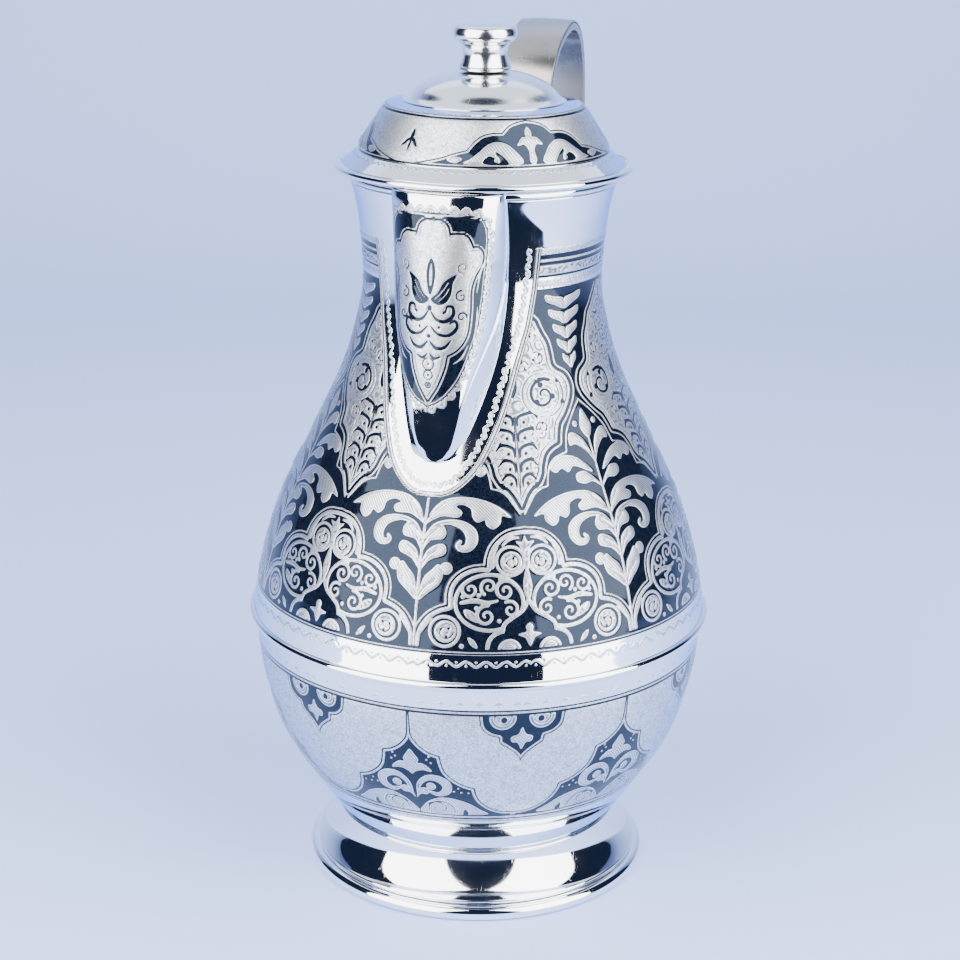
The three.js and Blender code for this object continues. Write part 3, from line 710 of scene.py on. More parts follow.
# %% Medallion
def draw_medallion(plan):
    """The medallion: its border, top lobe, ring of scrolls, foot lobe and niche."""
    medallion = both_sides(lobed([(0, 38.4), (4, 37.8), (6.8, 36), (9, 33), (10.1, 29.5), (10.3, 26.2)],
                                 [(10.3, 26.2), (12, 26.4), (15, 25.6), (17.7, 23.5), (19.4, 20.5),
                                  (20, 17), (19.8, 13.5)],
                                 [(19.8, 13.5), (22.5, 12.3), (25, 10), (26.8, 6.5), (27.5, 3), (27.6, -3)]))
    shape = plan.signed(medallion)
    plan.bands(shape, (-1.25, -0.75, "matt"), (0, 1.25, "matt"), (1.25, 40, "niello"))
    plan.disc("matt", (4.2, 28.4), 5.1, 0.9)
    plan.rosette((4.0, 28.0), 3.5, 100)
    plan.petal("matt", [(0, 24.5), (0.9, 29), (1.2, 32.5), (2.6, 34.8), (0.8, 34.6), (0, 36.6), (-0.8, 34.6),
                        (-2.6, 34.8), (-1.2, 32.5), (-0.9, 29)])
    plan.stroke("matt", [(1.6, 36.0), (4.2, 35.6), (6.2, 33.6)], [0.5, 1.1, 0.6])
    plan.stroke("matt", [(7.6, 33.4), (9.0, 30.0), (9.0, 26.6)], [0.6, 1.4, 1.2])
    ring = np.linspace(0, 2 * np.pi, 49)[:-1]
    circle = np.stack([9.8 + 8.9 * np.cos(ring), 15.0 + 9.7 * np.sin(ring)], 1)
    plan.bands(plan.signed(circle), (0, 1.15, "matt"), (1.15, 40, "niello"))
    plan.scroll("matt", (5.8, 18.8), 3.7, 150, 1.5, 1.15, -1)
    plan.scroll("matt", (9.9, 20.2), 2.9, 300, 1.3, 1.0)
    plan.scroll("matt", (4.6, 12.6), 2.9, 60, 1.3, 1.0)
    plan.scroll("matt", (10.6, 10.6), 3.6, 100, 1.4, 1.15, -1)
    plan.scroll("matt", (14.6, 19.2), 2.8, 20, 1.2, 1.0, -1)
    plan.stroke("matt", [(16.8, 14.8), (13.6, 15.6), (10.4, 15.0), (7.8, 15.6)], [1.0, 1.6, 1.2, 0.7])
    plan.petal("matt", [(12.6, 8.4), (15.4, 10.2), (16.0, 12.6), (14.2, 12.2), (12.8, 10.4)])
    for spot in ((13.0, 13.2), (7.4, 9.0), (12.4, 17.4), (6.9, 22.6), (16.4, 16.8)):
        plan.disc("matt", spot, 0.7)
    plan.stroke("matt", [(0, 25), (0.5, 20), (0, 15.5)], [1.2, 1.7, 0.9])
    plan.disc("matt", (20.6, 5.2), 5.4, 1.0)
    plan.rosette((20.4, 5.2), 3.6, 180)
    plan.petal("matt", [(12.6, 0), (13.4, 2.4), (15.0, 3.6), (14.2, 1.0)])
    plan.disc("matt", (16.4, 0.6), 0.8)
    plan.petal("matt", [(23.6, 9.4), (25.6, 7.4), (26.4, 4.0), (25.4, 6.0)])
    niche = both_sides(lobed([(0, 14.3), (1.5, 11.5), (4, 9.3), (5.7, 7.5), (6.2, 5)],
                             [(6.2, 5), (8, 4.2), (9.5, 2), (10, -3)]))
    plan.bands(plan.signed(niche), (-1.3, 0, "matt"), (0, 40, "niello"))
    plan.petal("leaf", [(0, 8.0), (0.9, 6.9), (0.8, 5.2), (2.9, 4.4), (1.2, 3.2), (0.5, 1.4), (0, 0.4),
                        (-0.5, 1.4), (-1.2, 3.2), (-2.9, 4.4), (-0.8, 5.2), (-0.9, 6.9)])
    plan.disc("leaf", (5.0, -0.9), 3.9)
    plan.disc("niello", (5.0, -0.9), 2.8, 0.35)


draw_medallion(SHOULDER_PLAN)
told("with the medallions", SHOULDER_PLAN)

# %% [markdown]
# ## Belt and neck band
# Below the ornament run two dark lines and a mirror belt with a waving line; the neck has a band of
# the same kind. They are plain bands between two heights of the plan, laid last so that they cut
# the leaves off cleanly, as the smith's turned lines do.


# %% Belt and neck band
def draw_belts(plan):
    """The belt over the seam and the band round the neck."""
    ring_band(plan, -20, -0.35, "niello")
    ring_band(plan, -1.75, -1.25, "matt")
    ring_band(plan, -20, -2.35, "mirror")
    wave(plan, -5.4, 0.85, 4.667)
    ring_band(plan, 116.2, 200, "niello")
    ring_band(plan, 117.4, 121.2, "mirror")
    wave(plan, 119.3, 0.8, 3.5)
    ring_band(plan, 122.0, 125.2, "matt")
    ring_band(plan, 126.5, 127.3, "matt")
    ring_band(plan, 129.0, 200, "mirror")
    wave(plan, 130.1, 0.6, 3.5, width=0.8)


draw_belts(SHOULDER_PLAN)
told("with the belts", SHOULDER_PLAN)

# %% [markdown]
# ## The plain margin round the beak
# Below and beside the beak the repeats stop at a U-shaped margin of mirror silver, with a double
# line at its edge and a waving line with dots inside it.


# %% Plan of the margin
MARGIN_WIDE, MARGIN_COLS, MARGIN_LOW, MARGIN_STEP = 48, 200, 40.0, 0.25


def draw_margin():
    """Half the margin, degrees from the beak's axis. Returns the plan and the distance inside it."""
    plan = Plan(np.linspace(0, MARGIN_WIDE, MARGIN_COLS), np.arange(MARGIN_LOW,
        FULL_ARC - BELT_ARC + 0.3, MARGIN_STEP), SHOULDER_K, "mirror")
    edge = flowing([(0, 49.2), (4, 49.6), (8, 51.6), (12, 55.4), (15.5, 60.2), (19, 66.6), (22, 72.6),
                    (25, 79), (28, 86), (31, 93), (34, 99), (37, 105), (39, 111), (40.6, 118),
                    (41.4, 127), (42, 145), (42.4, 185)], 240)
    outline = both_sides(edge)
    where, d = plan.signed(outline, 60)
    inside = np.full(plan.niello.shape, -60.0)
    inside[where] = d
    for low, high, tone in ((-30, 0, "niello"), (-0.5, -0.1, "matt"), (-0.1, 0.35, "niello"),
                            (0.35, 1.0, "matt"), (1.0, 1.4, "niello")):
        plan.lay(tone, where, np.minimum(d - low, high - d))
    # the waving line: points at an even step along the edge, moved inwards by 3.4 mm +- 0.9
    k = np.interp(edge[:, 1], *SHOULDER_K)
    flat = evenly(np.stack([edge[:, 0] * k.mean(), edge[:, 1]], 1), 900)
    y = flat[:, 1]
    a = np.interp(y, edge[:, 1], edge[:, 0])
    metric = np.interp(y, *SHOULDER_K)
    slope = unit_rows(np.stack([np.gradient(a) * metric, np.gradient(y)], 1))
    walked = np.concatenate([[0], np.cumsum(np.hypot(np.diff(a) * metric[1:], np.diff(y)))])
    period = 5.2
    depth = 3.5 + 0.85 * np.sin(2 * np.pi * walked / period)
    line = np.stack([a - slope[:, 1] * depth / metric, y + slope[:, 0] * depth], 1)
    plan.stroke("matt", line[::3], 0.7, smooth=False)
    for n in range(int(walked[-1] / period)):
        for phase, depth in ((0.25, 3.1), (0.75, 3.9)):
            i = np.searchsorted(walked, (n + phase) * period)
            spot = (a[i] - slope[i, 1] * depth / metric[i], y[i] + slope[i, 0] * depth)
            plan.disc("matt", spot, 0.5)
    return plan, inside


MARGIN_PLAN, MARGIN_INSIDE = draw_margin()
told("margin", MARGIN_PLAN)

# %% [markdown]
# ## The bowl's repeat
# The bowl has a frosted ground with tall pointed arches at the plumes' axes and small pendant
# palmettes between them.


# %% Plan of half a bowl repeat
BOWL_TOP_Z, BOWL_LOW_Z, BOWL_HALF = 86.4, 32.0, HALF + 0.5
bowl_arc = lengths(BOWL)
LOW_ARC = np.interp(BOWL_LOW_Z, BOWL[:, 1], bowl_arc)
BOWL_K = (bowl_arc - LOW_ARC, np.radians(BOWL[:, 0]))
BOWL_START = np.interp(FOOT_TOP_Z + 1.2, BOWL[:, 1], bowl_arc) - LOW_ARC


def draw_bowl():
    """Half a repeat of the bowl, from the foot to the seam."""
    valley = BOWL_HALF
    over = lambda points: fold(points, valley)
    plan = Plan(np.linspace(0, valley, 150), np.arange(BOWL_START - 2, bowl_arc[-1] - LOW_ARC + 0.3,
        0.26), BOWL_K, "matt")
    arch = lobed([(0.0, 66), (0.42, 58), (0.7, 50.5), (1.7, 47.5), (3.2, 45.3), (5.2, 43.5), (7.9, 42.3)],
                 [(7.9, 42.3), (8.3, 39), (9.2, 35.5), (11.2, 32.5), (14, 30), (17, 28.6)],
                 [(17, 28.6), (17.5, 25), (19, 21), (22, 17.3), (25, 15.5), (29, 14.9)],
                 [(29, 14.9), (29, 5)])
    arch[:, 0] = valley - arch[:, 0]
    plan.bands(plan.signed(both_sides(arch, valley)), (0, 0.6, "niello"), (0.6, 1.3, "matt"),
               (1.3, 60, "niello"))
    plan.petal("leaf", over([(0, 44), (1.2, 42), (2.1, 39.9), (1.7, 38.5), (3.2, 38.4), (5.0, 36.6),
        (5.4, 35.1), (3, 35.6), (1, 34.6), (0, 33.4), (-1, 34.6), (-3, 35.6), (-5.4, 35.1),
        (-5.0, 36.6), (-3.2, 38.4), (-1.7, 38.5), (-2.1, 39.9), (-1.2, 42)]))
    plan.stroke("leaf", over([(0.9, 24.5), (1.6, 29), (4.0, 32.2), (7.0, 32.2), (9.2, 29.8), (9.0, 26.4),
                              (6.8, 24.6), (4.6, 25.6)]), [0.9, 1.7, 2.3, 2.9, 3.4, 3.2, 2.0, 1.2])
    plan.disc("leaf", (valley - 4.9, 28.4), 1.7)
    plan.petal("leaf", over([(0.2, 21.5), (1.5, 23.8), (3.6, 24.2), (4.2, 26.4), (2.6, 27.4), (0.9, 25.4)]))
    plan.petal("leaf", over([(0.4, 13.2), (1.5, 17), (4, 20.8), (7.5, 22.9), (11.5, 22.4), (15.5, 20.0),
        (18.5, 16.6), (21, 13.6), (14, 13.0), (7, 13.0)]))
    plan.scroll("niello", (valley - 6.2, 16.6), 4.0, 30, 1.1, 0.55)
    plan.stroke("niello", over([(3.0, 14.2), (3.6, 18.2), (6.4, 20.6), (9.6, 19.6), (11.0, 16.2),
        (10.8, 13.6)]), [0.3, 0.55, 0.6, 0.55, 0.5, 0.3])
    plan.petal("niello", over([(13.4, 13.2), (14.0, 16.8), (15.2, 13.8)]))
    plan.stroke("niello", over([(0, 33), (0, 12)]), 0.35)
    for b, y in ((11.2, 26.6), (13.2, 26.2), (12.4, 28.2), (4.3, 40.2), (5.4, 39.0), (4.9, 41.6),
            (15.2, 26.0)):
        plan.disc("matt", (valley - b, y), 0.42)
    # pendant palmette
    drop = both_sides(lobed([(0, 40.6), (1.4, 43.6), (3.8, 46.4), (5.5, 48.2), (5.8, 50.4)],
                            [(5.8, 50.4), (8.2, 51.5), (10.1, 54), (10.7, 57.5), (10.7, 62)]))
    plan.bands(plan.signed(drop), (0, 0.55, "niello"), (0.55, 1.15, "matt"), (1.15, 60, "niello"))
    plan.disc("leaf", (4.9, 58.2), 4.6)
    plan.disc("niello", (4.9, 58.2), 3.0, 0.4)
    plan.disc("niello", (4.6, 57.2), 1.1)
    plan.petal("leaf", [(0, 54.2), (1.0, 51.6), (2.7, 50.6), (2.4, 48.6), (1.0, 48.2), (0, 45.6),
        (-1.0, 48.2), (-2.4, 48.6), (-2.7, 50.6), (-1.0, 51.6)])
    # borders below and above
    ring_band(plan, -40, 12.9, "niello")
    ring_band(plan, 11.1, 12.2, "matt")
    ring_band(plan, 9.4, 10.2, "matt")
    ring_band(plan, -40, 8.9, "mirror")
    top = np.interp(BOWL_TOP_Z, BOWL[:, 1], bowl_arc) - LOW_ARC
    ring_band(plan, top - 0.6, 200, "niello")
    ring_band(plan, top + 0.2, top + 0.9, "matt")
    ring_band(plan, top + 1.5, 200, "mirror")
    for n in range(-1, 7):
        a = 4.75 * n
        plan.stroke("matt", [(a, top + 3.2), (a + 1.2, top + 3.9), (a + 2.4, top + 3.2)], [0.25, 0.7, 0.25])
        plan.disc("matt", (a + 3.4, top + 3.2), 0.3)
        plan.disc("matt", (a + 1.2, top + 2.8), 0.3)
    return plan


BOWL_PLAN = draw_bowl()
told("bowl", BOWL_PLAN)

# %% [markdown]
# ## Decorated silver
# One material reads the stored distances. Where the niello distance is above zero the surface is
# black sulphide, dark, glossy and not a metal; where the mirror distance is above zero it is plain
# polish; the rest is silver frosted with a graver: bright and rough, with fine scribbled cuts, and
# straight hatching on leaves.


# %% Cuts of the graver
def build_graving():
    """Cuts of the graver, as depth and shade: a fine scribble (where two noises cross their middle
    values), small fanned scrolls (rings by the distance to scattered points), and hatching (a sine of
    the distance round the pot), with a contour line just inside each leaf."""
    tree, feed, out = group_of("graver_cuts", {"Leaf": 0.0, "Round": 0.0, "Rise": 0.0, "Room": 0.0,
                                               "Scrolls": 1.0},
                               {"Depth": "Float", "Shade": "Float"})
    place = node(tree, "TexCoord").outputs["Object"]
    cuts = []
    for scale, wide in ((620.0, 0.030), (1100.0, 0.035)):
        noise = node(tree, "TexNoise", {"Vector": place, "Scale": scale, "Detail": 1.0}).outputs[0]
        gap = sums(tree, "ABSOLUTE", sums(tree, "SUBTRACT", noise, 0.5))
        cuts.append(sums(tree, "SUBTRACT", 1.0, ramp(tree, gap, 0.0, wide * 2)))
    scribble = sums(tree, "MULTIPLY", sums(tree, "MAXIMUM", *cuts), 0.62)
    shift = node(tree, "TexNoise", {"Vector": place, "Scale": 300.0, "Detail": 1.0}).outputs["Color"]
    bent = node(tree, "VectorMath", {0: shift, 1: (0.0016, 0.0016, 0.0016), 2: place},
                operation="MULTIPLY_ADD").outputs[0]
    cell = node(tree, "TexVoronoi", {"Vector": bent, "Scale": 215.0, "Randomness": 0.75})
    rings = sums(tree, "SINE", sums(tree, "MULTIPLY", cell.outputs["Distance"], 2 * math.pi * 3.4))
    scrolls = sums(tree, "MULTIPLY", ramp(tree, rings, -0.1, 0.45),
        sums(tree, "MULTIPLY", feed.outputs["Scrolls"], ramp(tree, feed.outputs["Room"], 0.3, 0.6)))
    lean = sums(tree, "MULTIPLY_ADD", feed.outputs["Rise"], 0.9, feed.outputs["Round"])
    hatch = ramp(tree, sums(tree, "SINE", sums(tree, "MULTIPLY", lean, 2 * math.pi / 1.05)), 0.0, 0.7)
    inner = ramp(tree, feed.outputs["Leaf"], 0.66, 0.9)
    line = sums(tree, "SUBTRACT", ramp(tree, feed.outputs["Leaf"], 0.38, 0.5),
                ramp(tree, feed.outputs["Leaf"], 0.62, 0.74))
    leafy = sums(tree, "MAXIMUM", line, sums(tree, "MULTIPLY", hatch, inner))
    ground = sums(tree, "MAXIMUM", scribble, scrolls)
    cut = blend_of(tree, ramp(tree, feed.outputs["Leaf"], 0.1, 0.3), ground, leafy, "FLOAT")
    tree.links.new(cut, out.inputs["Depth"])
    cloud = node(tree, "TexNoise", {"Vector": place, "Scale": 320.0, "Detail": 4.0}).outputs[0]
    shade = sums(tree, "MULTIPLY_ADD", cut, 0.78, sums(tree, "MULTIPLY", ramp(tree, cloud, 0.4, 0.75), 0.14))
    tree.links.new(shade, out.inputs["Shade"])
    return tree


GRAVING = build_graving()

# %% [markdown]
# ## Niello, mirror and frost in one material
# On the pot all three lie in one sheet, flush with each other. One material that chooses by the
# stored distances keeps their borders razor sharp at any size, where three materials would have to
# share jagged edges of faces.


# %% Decorated silver
def decorated_silver(name, scrolls):
    """Niello, mirror and frosted silver by the stored distances; scrolls is how much of the frosted
    ground is filled with small scrolls."""
    made, tree, shader = new_finish(name)
    read = {m: node(tree, "Attribute", attribute_name=m).outputs["Fac"]
            for m in ("niello", "mirror", "leaf", "round", "rise")}
    black = ramp(tree, read["niello"], -0.07, 0.07)
    mirror = ramp(tree, read["mirror"], -0.07, 0.07)
    cuts = node(tree, "Group", node_tree=GRAVING)
    tree.links.new(read["leaf"], cuts.inputs["Leaf"])
    room = sums(tree, "MULTIPLY", sums(tree, "MAXIMUM", read["niello"], read["mirror"]), -1.0)
    tree.links.new(room, cuts.inputs["Room"])
    cuts.inputs["Scrolls"].default_value = scrolls
    tree.links.new(read["round"], cuts.inputs["Round"])
    tree.links.new(read["rise"], cuts.inputs["Rise"])
    wear = wear_on(tree, 1.0, 1.0, 0.6)
    frost = blend_of(tree, cuts.outputs["Shade"], (0.74, 0.76, 0.80, 1), (0.045, 0.06, 0.10, 1))
    plain = blend_of(tree, wear["Tarnish"], (0.90, 0.905, 0.92, 1), (0.66, 0.64, 0.64, 1))
    silver = blend_of(tree, mirror, frost, plain)
    soot = blend_of(tree, cuts.outputs["Shade"], (0.0015, 0.003, 0.008, 1), (0.010, 0.014, 0.026, 1))
    tree.links.new(blend_of(tree, black, silver, soot), shader.inputs["Base Color"])
    tree.links.new(sums(tree, "SUBTRACT", 1.0, black), shader.inputs["Metallic"])
    shine = sums(tree, "ADD", wear["Roughness"], 0.035)
    frosty = sums(tree, "MULTIPLY_ADD", cuts.outputs["Shade"], 0.25, 0.34)
    rough = blend_of(tree, mirror, frosty, shine, "FLOAT")
    niello_rough = sums(tree, "MULTIPLY_ADD", cuts.outputs["Shade"], 0.08, 0.05)
    tree.links.new(blend_of(tree, black, rough, niello_rough, "FLOAT"), shader.inputs["Roughness"])
    shader.inputs["IOR"].default_value = 1.42
    shader.inputs["Specular Tint"].default_value = (0.52, 0.68, 1.0, 1)
    matt = sums(tree, "MULTIPLY", sums(tree, "SUBTRACT", 1.0, black), sums(tree, "SUBTRACT", 1.0, mirror))
    height = sums(tree, "MULTIPLY", matt, sums(tree, "MULTIPLY_ADD", cuts.outputs["Depth"], -0.55, 1.0))
    bump = node(tree, "Bump", {"Strength": 0.45, "Distance": 0.00012, "Height": height})
    tree.links.new(bump.outputs[0], shader.inputs["Normal"])
    return made


NIELLOED = decorated_silver("nielloed_silver", 1.0)
FROSTED = decorated_silver("frosted_silver", 0.0)

# %% [markdown]
# ## Six gores for the shoulder
# The decorated shell is made as six gores that meet at the plumes' axes, each a closed slab with a
# fine outer grid and a coarse inner one. The repeats are a little closer together at the beak than
# behind: the azimuth of turn t (in repeats) is 60 t - 4 sin(60 t) degrees.


# %% Gores
def turn_of(t):
    """Azimuth in degrees of a place t repeats from the beak."""
    return 60 * t - 4 * np.sin(np.radians(60 * t))


T_TABLE = np.linspace(-1, 7, 4001)
TURN_TABLE = turn_of(T_TABLE)


def repeats_at(azimuth):
    """Repeats from the beak at an azimuth: the inverse of turn_of, read off a table."""
    return np.interp(azimuth, TURN_TABLE, T_TABLE)


HAIR = 0.0006


def edged(count):
    """Even steps from 0 to 1 with a hair's breadth at each end, so that the shading of a slab's
    square edge reaches no further than that into its outside."""
    return np.concatenate([[0], np.linspace(HAIR, 1 - HAIR, count - 2), [1]])


def slab(name, outer, inner, marks, every):
    """A closed slab from a fine outer grid and a coarse inner grid that has one point for every so
    many outer ones. The four edges are strips of faces with that many short sides and one long,
    shaded flat, so that the slab's edges don't bend the shading of its outside."""
    rows, cols = outer.shape[:2]
    r2, c2 = inner.shape[:2]
    base = rows * cols
    fine = lambda i, j: i * cols + j
    coarse = lambda i, j: base + i * c2 + j
    faces = [grid_faces(rows, cols), grid_faces(r2, c2)[:, ::-1] + base]
    step = np.arange(every + 1)
    j = np.arange(c2 - 1)[:, None]
    i = np.arange(r2 - 1)[:, None]
    low = np.hstack([coarse(0, j), coarse(0, j + 1), fine(0, j * every + step[::-1])])
    high = np.hstack([coarse(r2 - 1, j + 1), coarse(r2 - 1, j), fine(rows - 1, j * every + step)])
    left = np.hstack([coarse(i + 1, 0), coarse(i, 0), fine(i * every + step, 0)])
    right = np.hstack([coarse(i, c2 - 1), coarse(i + 1, c2 - 1), fine(i * every + step[::-1], cols - 1)])
    faces += [low, high, left, right]
    points = np.vstack([outer.reshape(-1, 3), inner.reshape(-1, 3)])
    filled = {m: np.concatenate([v.ravel(), np.full(r2 * c2, {"mirror": 2.0}.get(m, -2.0))])
              for m, v in marks.items()}
    made = put_mesh(name, points, faces, filled)
    smooth = np.arange(len(made.data.polygons)) < len(faces[0]) + len(faces[1])
    made.data.polygons.foreach_set("use_smooth", smooth)
    return made


# %% [markdown]
# ## Relief
# The graver and the punch leave the frosted parts a hair proud and the niello a hair low. A tenth of
# a millimetre is enough to catch light along the borders, and it belongs in the mesh.


# %% Relief and shoulder gores
def relief(marks):
    """Height of the worked surface above the plain one: niello a hair low, frosted parts a little
    proud and pillowed towards their middles, mirror parts level."""
    matt = -np.maximum(marks["niello"], marks["mirror"])
    leaf = np.clip(marks["leaf"], 0, 1.2)
    return 0.10 * np.clip(matt / 0.35, 0, 1) + 0.10 * leaf - 0.03 * np.clip(marks["niello"] / 0.3, 0, 1)


FINE_ROWS, FINE_COLS, EVERY = 337, 211, 6
NECK_BAND_TOP = 131.4


def shoulder_gore(index):
    """One gore: rows follow the template's length, columns run between two plume axes, and beside
    the beak the near edge follows the beak's back instead."""
    along = np.linspace(0, FULL_ARC, FINE_ROWS)
    outline = stepped(SHOULDER, shoulder_arc, along)
    start, end = turn_of(index) + 0 * along, turn_of(index + 1) + 0 * along
    back = beak_size("back", outline[:, 1]) - 2.6
    opening = np.degrees(np.arcsin(np.clip(back, 0, 30) / outline[:, 0])) * (outline[:, 1] > BEAK_TIP)
    if index == 0:
        start = opening
    if index == 5:
        end = 360 - opening
    share = edged(FINE_COLS)[None, :]
    azimuth = start[:, None] * (1 - share) + end[:, None] * share
    t = repeats_at(azimuth)
    a = 2 * HALF * np.abs(t - np.floor(t) - 0.5)
    a = np.where(np.isclose(t, np.round(t)), HALF, a)
    y = (along - BELT_ARC)[:, None] + 0 * a
    marks = SHOULDER_PLAN.read(a, y)
    if index in (0, 5):
        off = np.where(azimuth > 180, 360 - azimuth, azimuth)
        margin = MARGIN_PLAN.read(off, y)
        i = np.clip(((y - MARGIN_LOW) / MARGIN_STEP).astype(int), 0, len(MARGIN_PLAN.y) - 1)
        j = np.clip((off / (MARGIN_WIDE / (MARGIN_COLS - 1))).astype(int), 0, MARGIN_COLS - 1)
        inside = np.where((y > MARGIN_LOW) & (off < MARGIN_WIDE), MARGIN_INSIDE[i, j], -60)
        above = np.clip(y - NECK_BAND_TOP, -2.5, 2.5)
        margin = {"niello": np.minimum(margin["niello"], -above), "leaf": margin["leaf"],
                  "mirror": np.maximum(margin["mirror"], above)}
        use = inside > -0.75
        marks = {m: np.where(use, margin[m], marks[m]) for m in marks}
    marks["round"] = np.radians(azimuth - turn_of(index + 0.5)) * outline[:, :1]
    marks["rise"] = y
    swell = relief(marks)
    edge_fade = np.clip((along - 0.3) / 0.8, 0, 1)[:, None]
    r = outline[:, :1] + swell * edge_fade
    turn = np.radians(azimuth)
    outer = around(r, turn, outline[:, 1:])
    wall = beside(outline, WALL)
    wall[:, 1] = np.clip(wall[:, 1], outline[0, 1], outline[-1, 1])
    inner = around(wall[:, :1], turn, wall[:, 1:])[::EVERY, ::EVERY]
    return slab(f"shoulder_gore_{index + 1}", outer, inner, marks, EVERY)


for index in range(6):
    gore = shoulder_gore(index)
    finished(gore, NIELLOED, "pot", "engraved_silver", "upper_body")

# %% [markdown]
# ## Six gores for the bowl, and its floor
# The bowl was raised from one disc. Its decorated side is made as gores like the shoulder's, because
# one piece as fine as this would be too heavy; the plain floor, hidden by the foot, is a turned
# shell.


# %% Bowl gores
BOWL_ROWS, BOWL_COLS = 187, 169
BOWL_SHIFT = -1.5


def bowl_gore(index):
    """One gore of the bowl's side, from the foot to the seam."""
    low = BOWL_START + LOW_ARC
    along = np.linspace(low, bowl_arc[-1], BOWL_ROWS)
    outline = stepped(BOWL, bowl_arc, along)
    t = index + edged(BOWL_COLS)[None, :]
    azimuth = turn_of(t) + BOWL_SHIFT + 0 * along[:, None]
    a = 2 * BOWL_HALF * np.abs(t - index - 0.5) + 0 * along[:, None]
    y = (along - LOW_ARC)[:, None] + 0 * a
    marks = BOWL_PLAN.read(a, y)
    marks["round"] = np.radians(azimuth - turn_of(index + 0.5)) * outline[:, :1]
    marks["rise"] = y
    fade = np.clip((along[-1] - along - 0.3) / 0.8, 0, 1)[:, None]
    r = outline[:, :1] + relief(marks) * fade
    turn = np.radians(azimuth)
    outer = around(r, turn, outline[:, 1:])
    wall = beside(outline, WALL)
    inner = around(wall[:, :1], turn, wall[:, 1:])[::EVERY, ::EVERY]
    return slab(f"bowl_gore_{index + 1}", outer, inner, marks, EVERY)


for index in range(6):
    finished(bowl_gore(index), FROSTED, "pot", "engraved_silver", "lower_bowl")
cut = np.searchsorted(bowl_arc, BOWL_START + LOW_ARC)
floor_line = BOWL[:cut + 1:4]
under = beside(floor_line, WALL)
under[0] = (0, floor_line[0, 1] + WALL)
floor_line[0, 0] = 0
bowl_floor = spun("bowl_floor", np.vstack([floor_line, under[::-1]]), 180)
finished(bowl_floor, MIRROR, "pot", "engraved_silver", "lower_bowl")


# %% [markdown]
# ## Foot, wires and mouth rim
# The foot is a hollow cove of sheet with a rolled wire at its edge; other wires hide the crease under
# the bowl and the seam at the belly. All are round, so each is a section turned about the axis.


# %% Foot: cove, rolled edge and the wire in the crease
COVE_LOW = np.array([FOOT_R - FOOT_WIRE - 0.6, FOOT_WIRE * 2 + GAP + 1.2])
COVE_BEND = np.array([FOOT_TOP_R + 2, FOOT_WIRE * 2 + 5])
COVE_TOP = np.array([FOOT_TOP_R + 0.6, FOOT_TOP_Z - 0.4])
t = np.linspace(0, 1, 40)[:, None]
cove = (1 - t) ** 2 * COVE_LOW + 2 * t * (1 - t) * COVE_BEND + t**2 * COVE_TOP
outside = np.vstack([[COVE_LOW[0], FOOT_WIRE * 2 + GAP], cove])
foot = spun("foot_cove", np.vstack([outside, beside(outside, WALL)[::-1]]))
finished(foot, MIRROR, "pot", "polished_silver", "foot_ring")
roll = np.linspace(-np.pi / 2, np.pi / 2, 24)
edge = np.stack([FOOT_R - FOOT_WIRE + FOOT_WIRE * np.cos(roll), FOOT_WIRE + FOOT_WIRE * np.sin(roll)], 1)
inner = FOOT_R - 2 * FOOT_WIRE - 1.2
rim = spun("foot_rolled_edge", np.vstack([edge, softened([(inner, 2 * FOOT_WIRE), (inner, 0)], 0.5)]))
finished(rim, MIRROR, "pot", "polished_silver", "foot_rim_wire")


def wire_ring(name, radius, height, thick, turns=256):
    """A ring of round wire: a circle of the wire's radius turned about the pot's axis."""
    bend = np.linspace(0, 2 * np.pi, 24, endpoint=False)
    return spun(name, np.stack([radius + thick * np.cos(bend), height + thick * np.sin(bend)], 1), turns)


finished(wire_ring("foot_crease_wire", FOOT_TOP_R + 1.3, FOOT_TOP_Z + 0.2, 0.5), MIRROR, "pot",
         "polished_silver", "foot_top_wire")
finished(wire_ring("belly_seam_wire", BEAD_R - 1.6, SEAM_Z, 1.55), MIRROR, "pot", "polished_silver",
         "belly_bead")
RIM_LOW, RIM_HIGH = span("neck_rim", 2)
RIM_OUT = LIP_R + 1.1
rim = spun("mouth_rim", softened([(LIP_R - 1.4, RIM_LOW), (RIM_OUT, RIM_LOW), (RIM_OUT, RIM_HIGH),
                                  (LIP_R - 1.4, RIM_HIGH)], 0.9))
finished(rim, MIRROR, "pot", "polished_silver", "neck_rim")

# %% [markdown]
# ## The beak
# The beak is hammered from one sheet: round like half a cone at the mouth, with a flank that leans
# against the shoulder lower down, and a rounded tip. Its front carries a cartouche with a palmette
# on stippled ground, in a niello border with a waving line.

# %% Beak surface
BEAK_ROWS, BEAK_COLS = 232, 211
CARTOUCHE_SHIFT = -1.7


